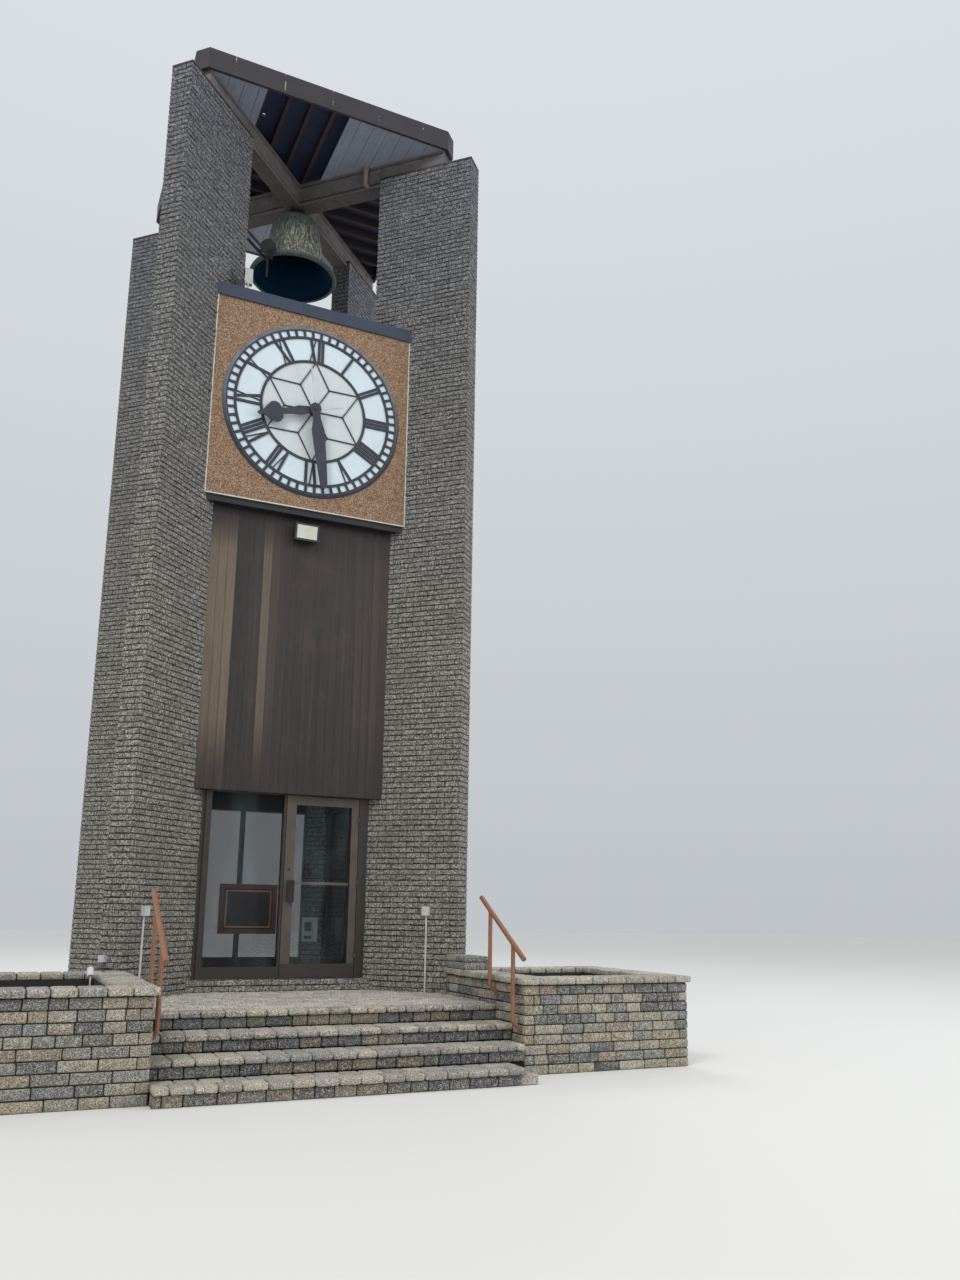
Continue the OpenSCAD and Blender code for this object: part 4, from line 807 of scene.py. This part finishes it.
def block_row(low, high, unit, vary=0.12, radius=0.012, jitter=0.0015, axis=0, start=1.0,
              joint=BLOCK_JOINT):
    """One row of blocks between two corners, cut across X (axis 0) or Y (axis 1)."""
    begin, end = low[axis], high[axis]
    edges = [begin]
    at = begin + unit * start
    while at < end - unit * ROW_END:
        edge = at + unit * vary * rng.uniform(-1, 1) * 0.5
        if edges[-1] + SHORTEST * unit < edge < end - SHORTEST * unit:
            edges.append(edge)
        at += unit
    edges.append(end)
    lows, highs = (np.tile(np.array(corner, float), (len(edges) - 1, 1)) for corner in (low, high))
    lows[:, axis] = np.array(edges[:-1]) + joint / 2
    highs[:, axis] = np.array(edges[1:]) - joint / 2
    return tumbled_blocks(lows, highs, radius, jitter)


def edge_caps(x0, x1, front, top, start):
    """The row of blocks along the edge of a step or of the landing."""
    return block_row((x0, front, top - STEP_CAP), (x1, front + CAP_D, top), CAP_L, start=start, **CAP_STYLE)


def riser_row(x0, x1, front, top, unit, start):
    """The row of blocks under an edge."""
    return block_row((x0, front + NOSING, top - RISE), (x1, front + RISER_D, top - STEP_CAP - RISER_BED),
                     unit, start=start, **RISER_STYLE)


def solids_of(node):
    """Boxes (low, high) of the separate solids in a CAD node, sorted along Y."""
    co = points_of(node)
    seen = {}
    parent = [seen.setdefault(tuple(p), i) for i, p in enumerate(np.round(co, 5))]

    def root(i):
        while parent[i] != i:
            parent[i] = parent[parent[i]]
            i = parent[i]
        return i

    for edge in NODES[node].data.edges:
        a, b = (root(v) for v in edge.vertices)
        parent[a] = b
    roots = np.array([root(i) for i in range(len(co))])
    boxes = [(co[roots == r].min(0), co[roots == r].max(0)) for r in dict.fromkeys(roots)]
    return sorted(boxes, key=lambda box: box[0][1])


def add_blocks(name, parts, material, smooth=True):
    return add_parts(name, parts, material, smooth)


def step_blocks():
    """Caps and risers of the steps, and the half block that ends the bottom one."""
    caps, risers, cores = [], [], []
    solids = solids_of("steps")
    steps = [box for box in solids if box[1][0] - box[0][0] > 1.0]
    for i, ((x0, y0, _), (x1, y1, z1)) in enumerate(steps):
        riser_x1 = x1 if i else x1 - BOTTOM_END_OUT
        start = STEP_STARTS[i % 3]
        caps.append(edge_caps(x0, x1, y0, z1, start))
        caps.append(block_row((x0, y0 + SECOND_ROW, z1 - STEP_CAP), (x1, y1, z1), CAP_L,
                              radius=TREAD_RADIUS))
        risers.append(riser_row(x0, riser_x1, y0, z1, STEP_RISER_L, start - 0.3))
        cores.append(box_part((x0 + 0.01, y0 + NOSING + 0.025, 0), (riser_x1 - 0.02, y1, z1 - 0.03)))
    for low, high in solids:
        if high[0] - low[0] <= 1.0:
            caps.append(tumbled_blocks([low], [high], TREAD_RADIUS, 0.002))
    add_blocks("step_caps", caps, CAP_BLOCK)
    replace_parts(add_blocks("step_risers", risers, SHADED_RISER_BLOCK), "steps")
    add_blocks("step_core", cores, JOINT, smooth=False)


def pier_line():
    """Offset c of the piers' faces, where |x| = d - c bounds the bay at depth d."""
    across = np.array([1.0, -1.0, 0.0]) / math.sqrt(2)
    return span("pier_front_left", across)[1] * math.sqrt(2)


def landing_blocks():
    """Cap blocks along the front edge, the riser under them and paving behind, cut to the piers."""
    low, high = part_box("landing")
    x0, x1, y0, z1 = low.x, high.x, low.y, high.z
    cap = edge_caps(x0, x1, y0, z1, 0.85)
    riser = riser_row(x0, x1, y0, z1, LANDING_RISER_L, 0.5)
    offset = pier_line() + PIER_GAP
    y, row = y0 + PAVING_FROM, 0
    back = high.y - PAVING_TO
    pavers = []
    while y < back - PAVING_LEAST:
        y_end = min(y + PAVER_COURSE, back)
        a, b = x0, x1
        if -y_end < PIER_TIPS:
            half = -y_end - offset
            a, b = max(x0, -half), min(x1, half)
        pavers.append(block_row((a, y, z1 - PAVER_T), (b, y_end - PAVER_JOINT, z1), PAVER_L,
                                start=PAVER_STARTS[row % 2], **PAVER_STYLE))
        y = y_end
        row += 1
    add_blocks("landing_caps", [cap], CAP_BLOCK)
    add_blocks("landing_risers", [riser], SHADED_RISER_BLOCK)
    add_blocks("landing_pavers", pavers, PAVER)
    core_top = z1 - CORE_IN
    cores = [box_part((x0 + 0.012, y0 + NOSING + 0.012, 0), (x1 - 0.012, LANDING_NECKS[0][1], core_top))]
    cores += [box_part((-half, front, 0), (half, rear, core_top)) for half, front, rear in LANDING_NECKS]
    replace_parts(add_blocks("landing_core", cores, JOINT, smooth=False), "landing")


def planter_blocks(node, name):
    """Coursed tumbled blocks on all four walls of a planter, and its cap slabs."""
    low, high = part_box(node)
    (in_x0, in_y0, _), (in_x1, in_y1, _) = [
        soil for soil in solids_of("planter_soil") if low.x < (soil[0][0] + soil[1][0]) / 2 < high.x][0]
    x0, x1, y0, y1 = in_x0 - WALL_T, in_x1 + WALL_T, in_y0 - WALL_T, high.y
    rows = round(PLANTER_TOP / PLANTER_COURSE)
    course = PLANTER_TOP / rows
    parts = []
    for row in range(rows):
        z0, z1 = row * course, (row + 1) * course - BLOCK_JOINT
        style = {"start": WALL_STARTS[row % 3], **WALL_STYLE}
        unit = LONG_BLOCK if row < rows / 2 else SHORT_BLOCK
        # The long walls and the end walls take turns to run through at the corners
        shift = BLOCK_D if row % 2 else 0.0
        for ya, yb in ((y0, y0 + BLOCK_D), (y1 - BLOCK_D, y1)):
            parts.append(block_row((x0 + shift, ya, z0), (x1 - shift, yb, z1), unit, **style))
        ya, yb = y0 + BLOCK_D - shift, y1 - BLOCK_D + shift
        for xa, xb in ((x0, x0 + BLOCK_D), (x1 - BLOCK_D, x1)):
            parts.append(block_row((xa, ya, z0), (xb, yb, z1), unit, axis=1, **style))
    cap0, cap1 = PLANTER_TOP + BED, PLANTER_TOP + PLANTER_CAP
    cap_x0, cap_x1 = x0 - PLANTER_CAP_OUT, x1 + PLANTER_CAP_OUT
    caps = [block_row((cap_x0, ya, cap0), (cap_x1, yb, cap1), CAP_L, **SLAB_STYLE)
            for ya, yb in ((y0 - PLANTER_CAP_OUT, in_y0), (in_y1, y1))]
    caps += [block_row((xa, in_y0 + BED, cap0), (xb, in_y1 - BED, cap1), CAP_L, axis=1, **SLAB_STYLE)
             for xa, xb in ((cap_x0, in_x0), (in_x1, cap_x1))]
    cores = []
    for z0, z1, back in ((0, PLANTER_TOP, 0.0), (PLANTER_TOP, cap1 - CORE_IN, CORE_IN)):
        xa, xb, ya, yb = in_x0 - back, in_x1 + back, in_y0 - back, in_y1 + back
        cores += [box_part((x0 + CORE_IN, y0 + CORE_IN, z0), (x1 - CORE_IN, ya, z1)),
                  box_part((x0 + CORE_IN, yb, z0), (x1 - CORE_IN, y1 - CORE_IN, z1)),
                  box_part((x0 + CORE_IN, ya, z0), (xa, yb, z1)),
                  box_part((xb, ya, z0), (x1 - CORE_IN, yb, z1))]
    if high.z > cap1 + 0.02:
        # A short raised stub beside the steps
        stub_y, stub_x = y1 - STUB_L, x0 + WALL_T
        middle = cap1 + STUB_COURSE
        for z0, z1, unit in zip((cap1 + BED, middle + BED), (middle - BED, high.z), STUB_BLOCKS):
            parts.append(block_row((x0, stub_y, z0), (stub_x, y1, z1), unit, axis=1))
        cores.append(box_part((x0 + CORE_IN, stub_y + CORE_IN, cap1 - CORE_IN),
                              (stub_x - CORE_IN, y1 - CORE_IN, high.z - CORE_IN)))
    add_blocks(name + "_caps", caps, CAP_BLOCK)
    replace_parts(add_blocks(name + "_blocks", parts, WALL_BLOCK), node)
    add_blocks(name + "_core", cores, WALL_CORE, smooth=False)


# Cladding: sheet in narrow pans, some of them in another tone

PAN = 0.1145
PAN_STEP = 0.0025
BANDS = [(-1.18, 0.88), (-0.81, 0.34), (-0.465, 0.72), (-0.36, 0.56), (-0.33, 0.34), (0.675, 0.42),
         (1.0, 0.58), (1.1, 0.44)]    # where a tone begins, from the left, and the tone


def cladding_sheet(side):
    """The pans of a side's sheet, each a little proud of the joints beside it."""
    node = "cladding_" + side
    outward, rightward = side_axes(side)
    face_at, half = outer_face(node, outward, rightward)
    z0, z1 = span(node, UP)
    count = round(2 * half / PAN)
    pitch = 2 * half / count
    pan = [(0.0, 0.0), (0.004, PAN_STEP), (pitch * 0.5, PAN_STEP * 0.7), (pitch - 0.010, PAN_STEP),
           (pitch - 0.006, 0.0)]
    profile, tones = [], []
    for i in range(count):
        a = -half + i * pitch
        tone = [t for at, t in BANDS if at <= a + pitch / 2 or at == BANDS[0][0]][-1]
        tone = min(1.0, max(0.0, tone + rng.uniform(-0.06, 0.06)))
        for along, out in pan:
            profile.append((a + along, out))
            tones.append(tone if out > 0 else tone * 0.8)
    profile.append((half, 0.0))
    tones.append(0.2)
    n = len(profile)
    local = np.array([(u, z, w) for z in (0.0, z1 - z0) for u, w in profile])
    faces = [(i, i + 1, n + i + 1, n + i) for i in range(n - 1)]
    face = frame_of(outward * (face_at + 0.0005) + UP * z0, rightward, outward)
    sheet = (to_world(local, face), faces, tones * 2)
    add_parts("cladding_sheet_" + side, [sheet], CLADDING)


# Fittings

FLOOD_TILT = math.radians(8)
DIAGONAL = math.sqrt(0.5)
LENS_MARGIN = 0.05       # both edges together, as in the next two
BOARD_MARGIN = 0.13
LINE_MARGIN = 0.19
LINE_W = 0.018
METER_WINDOWS = [(0, 0.04, 0.11, 0.13), (0, -0.11, 0.12, 0.04)]


def front_of(node, u, w):
    """The face of a box that looks along w, with u along it, and its length and height."""
    co = points_of(node)
    _, u, v, w = frame_of((0, 0, 0), u, w)
    depth = (co @ w).max()
    face = co[(co @ w) > depth - FLUSH]
    low = np.array([(face @ a).min() for a in (u, v)])
    high = np.array([(face @ a).max() for a in (u, v)])
    middle = (low + high) / 2
    return frame_of(u * middle[0] + v * middle[1] + w * depth, u, w), *(high - low)


def plates(name, face, sheets, material, raised=0.002):
    """Thin raised plates on a face, each (offset along, offset up, length, height)."""
    parts = []
    for along, up, length, height in sheets:
        verts, faces = box_part((along - length / 2, up - height / 2, -0.001),
                                (along + length / 2, up + height / 2, raised))
        parts.append((to_world(verts, face), faces))
    add_parts(name, parts, material)


def fittings():
    """Lens of the floodlight, the field and border line of the board, and the meter's windows."""
    aim = (0, -math.cos(FLOOD_TILT), -math.sin(FLOOD_TILT))
    face, length, height = front_of("floodlight", (1, 0, 0), aim)
    plates("floodlight_lens", face, [(0, 0, length - LENS_MARGIN, height - LENS_MARGIN)], LENS)
    face, length, height = front_of("display_board", (1, 0, 0), (0, -1, 0))
    plates("board_field", face, [(0, 0, length - BOARD_MARGIN, height - BOARD_MARGIN)], BOARD_FIELD)
    a, b = (length - LINE_MARGIN) / 2, (height - LINE_MARGIN) / 2
    border = [(-a, 0, LINE_W, 2 * b), (a, 0, LINE_W, 2 * b),
              (0, -b, 2 * a + LINE_W, LINE_W), (0, b, 2 * a + LINE_W, LINE_W)]
    plates("board_border", face, border, GILT, raised=0.004)
    face, _, _ = front_of("meter_box", (DIAGONAL, -DIAGONAL, 0), (-DIAGONAL, -DIAGONAL, 0))
    plates("meter_window", face, METER_WINDOWS, LAMP)


# Stage

# The camera was solved from the photo's straight lines, in pixels of its 1280 px height
LENS_PX = 1037.418
FRAME_PX = 1280
PRINCIPAL_DROP_PX = 64.23
SENSOR = 36.0
EYE = Vector((-3.302, -13.820, 1.605))
YAW, PITCH, ROLL = (math.radians(a) for a in (25.116, 11.264, 0.837))
FLOOR_HALF, FLOOR_DROP = 60.0, 0.002


def make_camera():
    data = bpy.data.cameras.new("camera")
    data.sensor_width = SENSOR
    data.lens = LENS_PX / FRAME_PX * SENSOR
    data.shift_y = PRINCIPAL_DROP_PX / FRAME_PX
    data.clip_end = 200
    forward = Vector((math.sin(YAW) * math.cos(PITCH), math.cos(YAW) * math.cos(PITCH), math.sin(PITCH)))
    right = Vector((math.cos(YAW), -math.sin(YAW), 0))
    up = right.cross(forward)
    rolled_right = right * math.cos(ROLL) + up * math.sin(ROLL)
    rolled_up = up * math.cos(ROLL) - right * math.sin(ROLL)
    camera = placed("camera", data)
    camera.matrix_world = Matrix((rolled_right, rolled_up, -forward)).transposed().to_4x4()
    camera.location = EYE
    bpy.context.scene.camera = camera


def area_light(name, place, target, size, power, color):
    data = bpy.data.lights.new(name, "AREA")
    data.shape = "DISK"
    data.size = size
    data.energy = power
    data.color = color
    light = placed(name, data)
    light.location = place
    light.rotation_euler = (Vector(target) - Vector(place)).to_track_quat("-Z", "Y").to_euler()


def make_sky():
    """An overcast sky, paler towards the top."""
    world = bpy.data.worlds.new("soft_studio")
    bpy.context.scene.world = world
    world.use_nodes = True
    tree = world.node_tree
    background = tree.nodes["Background"]
    coords = tree.nodes.new("ShaderNodeTexCoord")
    parts = tree.nodes.new("ShaderNodeSeparateXYZ")
    ramp = tree.nodes.new("ShaderNodeValToRGB")
    tree.links.new(coords.outputs["Generated"], parts.inputs["Vector"])
    tree.links.new(parts.outputs["Z"], ramp.inputs["Fac"])
    ramp.color_ramp.elements[0].color = (0.62, 0.65, 0.69, 1)
    ramp.color_ramp.elements[1].color = (0.93, 0.97, 1.0, 1)
    tree.links.new(ramp.outputs["Color"], background.inputs["Color"])
    background.inputs["Strength"].default_value = 0.85


def make_stage():
    """Sky, three large soft lights and a plain pale floor."""
    make_sky()
    area_light("key_soft", (-14, -16, 22), (0, 0, 6), 9, 2500, (1.0, 0.98, 0.95))
    area_light("fill_soft", (16, -14, 12), (0, 0, 5), 10, 1250, (0.94, 0.97, 1.0))
    area_light("back_soft", (6, 18, 20), (0, 0, 8), 10, 1200, (0.95, 0.98, 1.0))
    bpy.context.scene.view_settings.view_transform = "Standard"
    paint = Shader("studio_floor", roughness=0.85)
    paint.set("Base Color", linear((226, 224, 220)))
    turns = ((-1, -1), (1, -1), (1, 1), (-1, 1))
    corners = [(x * FLOOR_HALF, y * FLOOR_HALF, -FLOOR_DROP) for x, y in turns]
    mesh = bpy.data.meshes.new("floor")
    mesh.from_pydata(corners, [], [(0, 1, 2, 3)])
    mesh.materials.append(paint.material)
    placed("floor", mesh)


make_camera()
make_stage()
dress_nodes()
pier_brickwork()
sill_brickwork()
step_blocks()
landing_blocks()
planter_blocks("planter_left", "left_planter")
planter_blocks("planter_right", "right_planter")
for side in SIDES:
    cladding_sheet(side)
fittings()
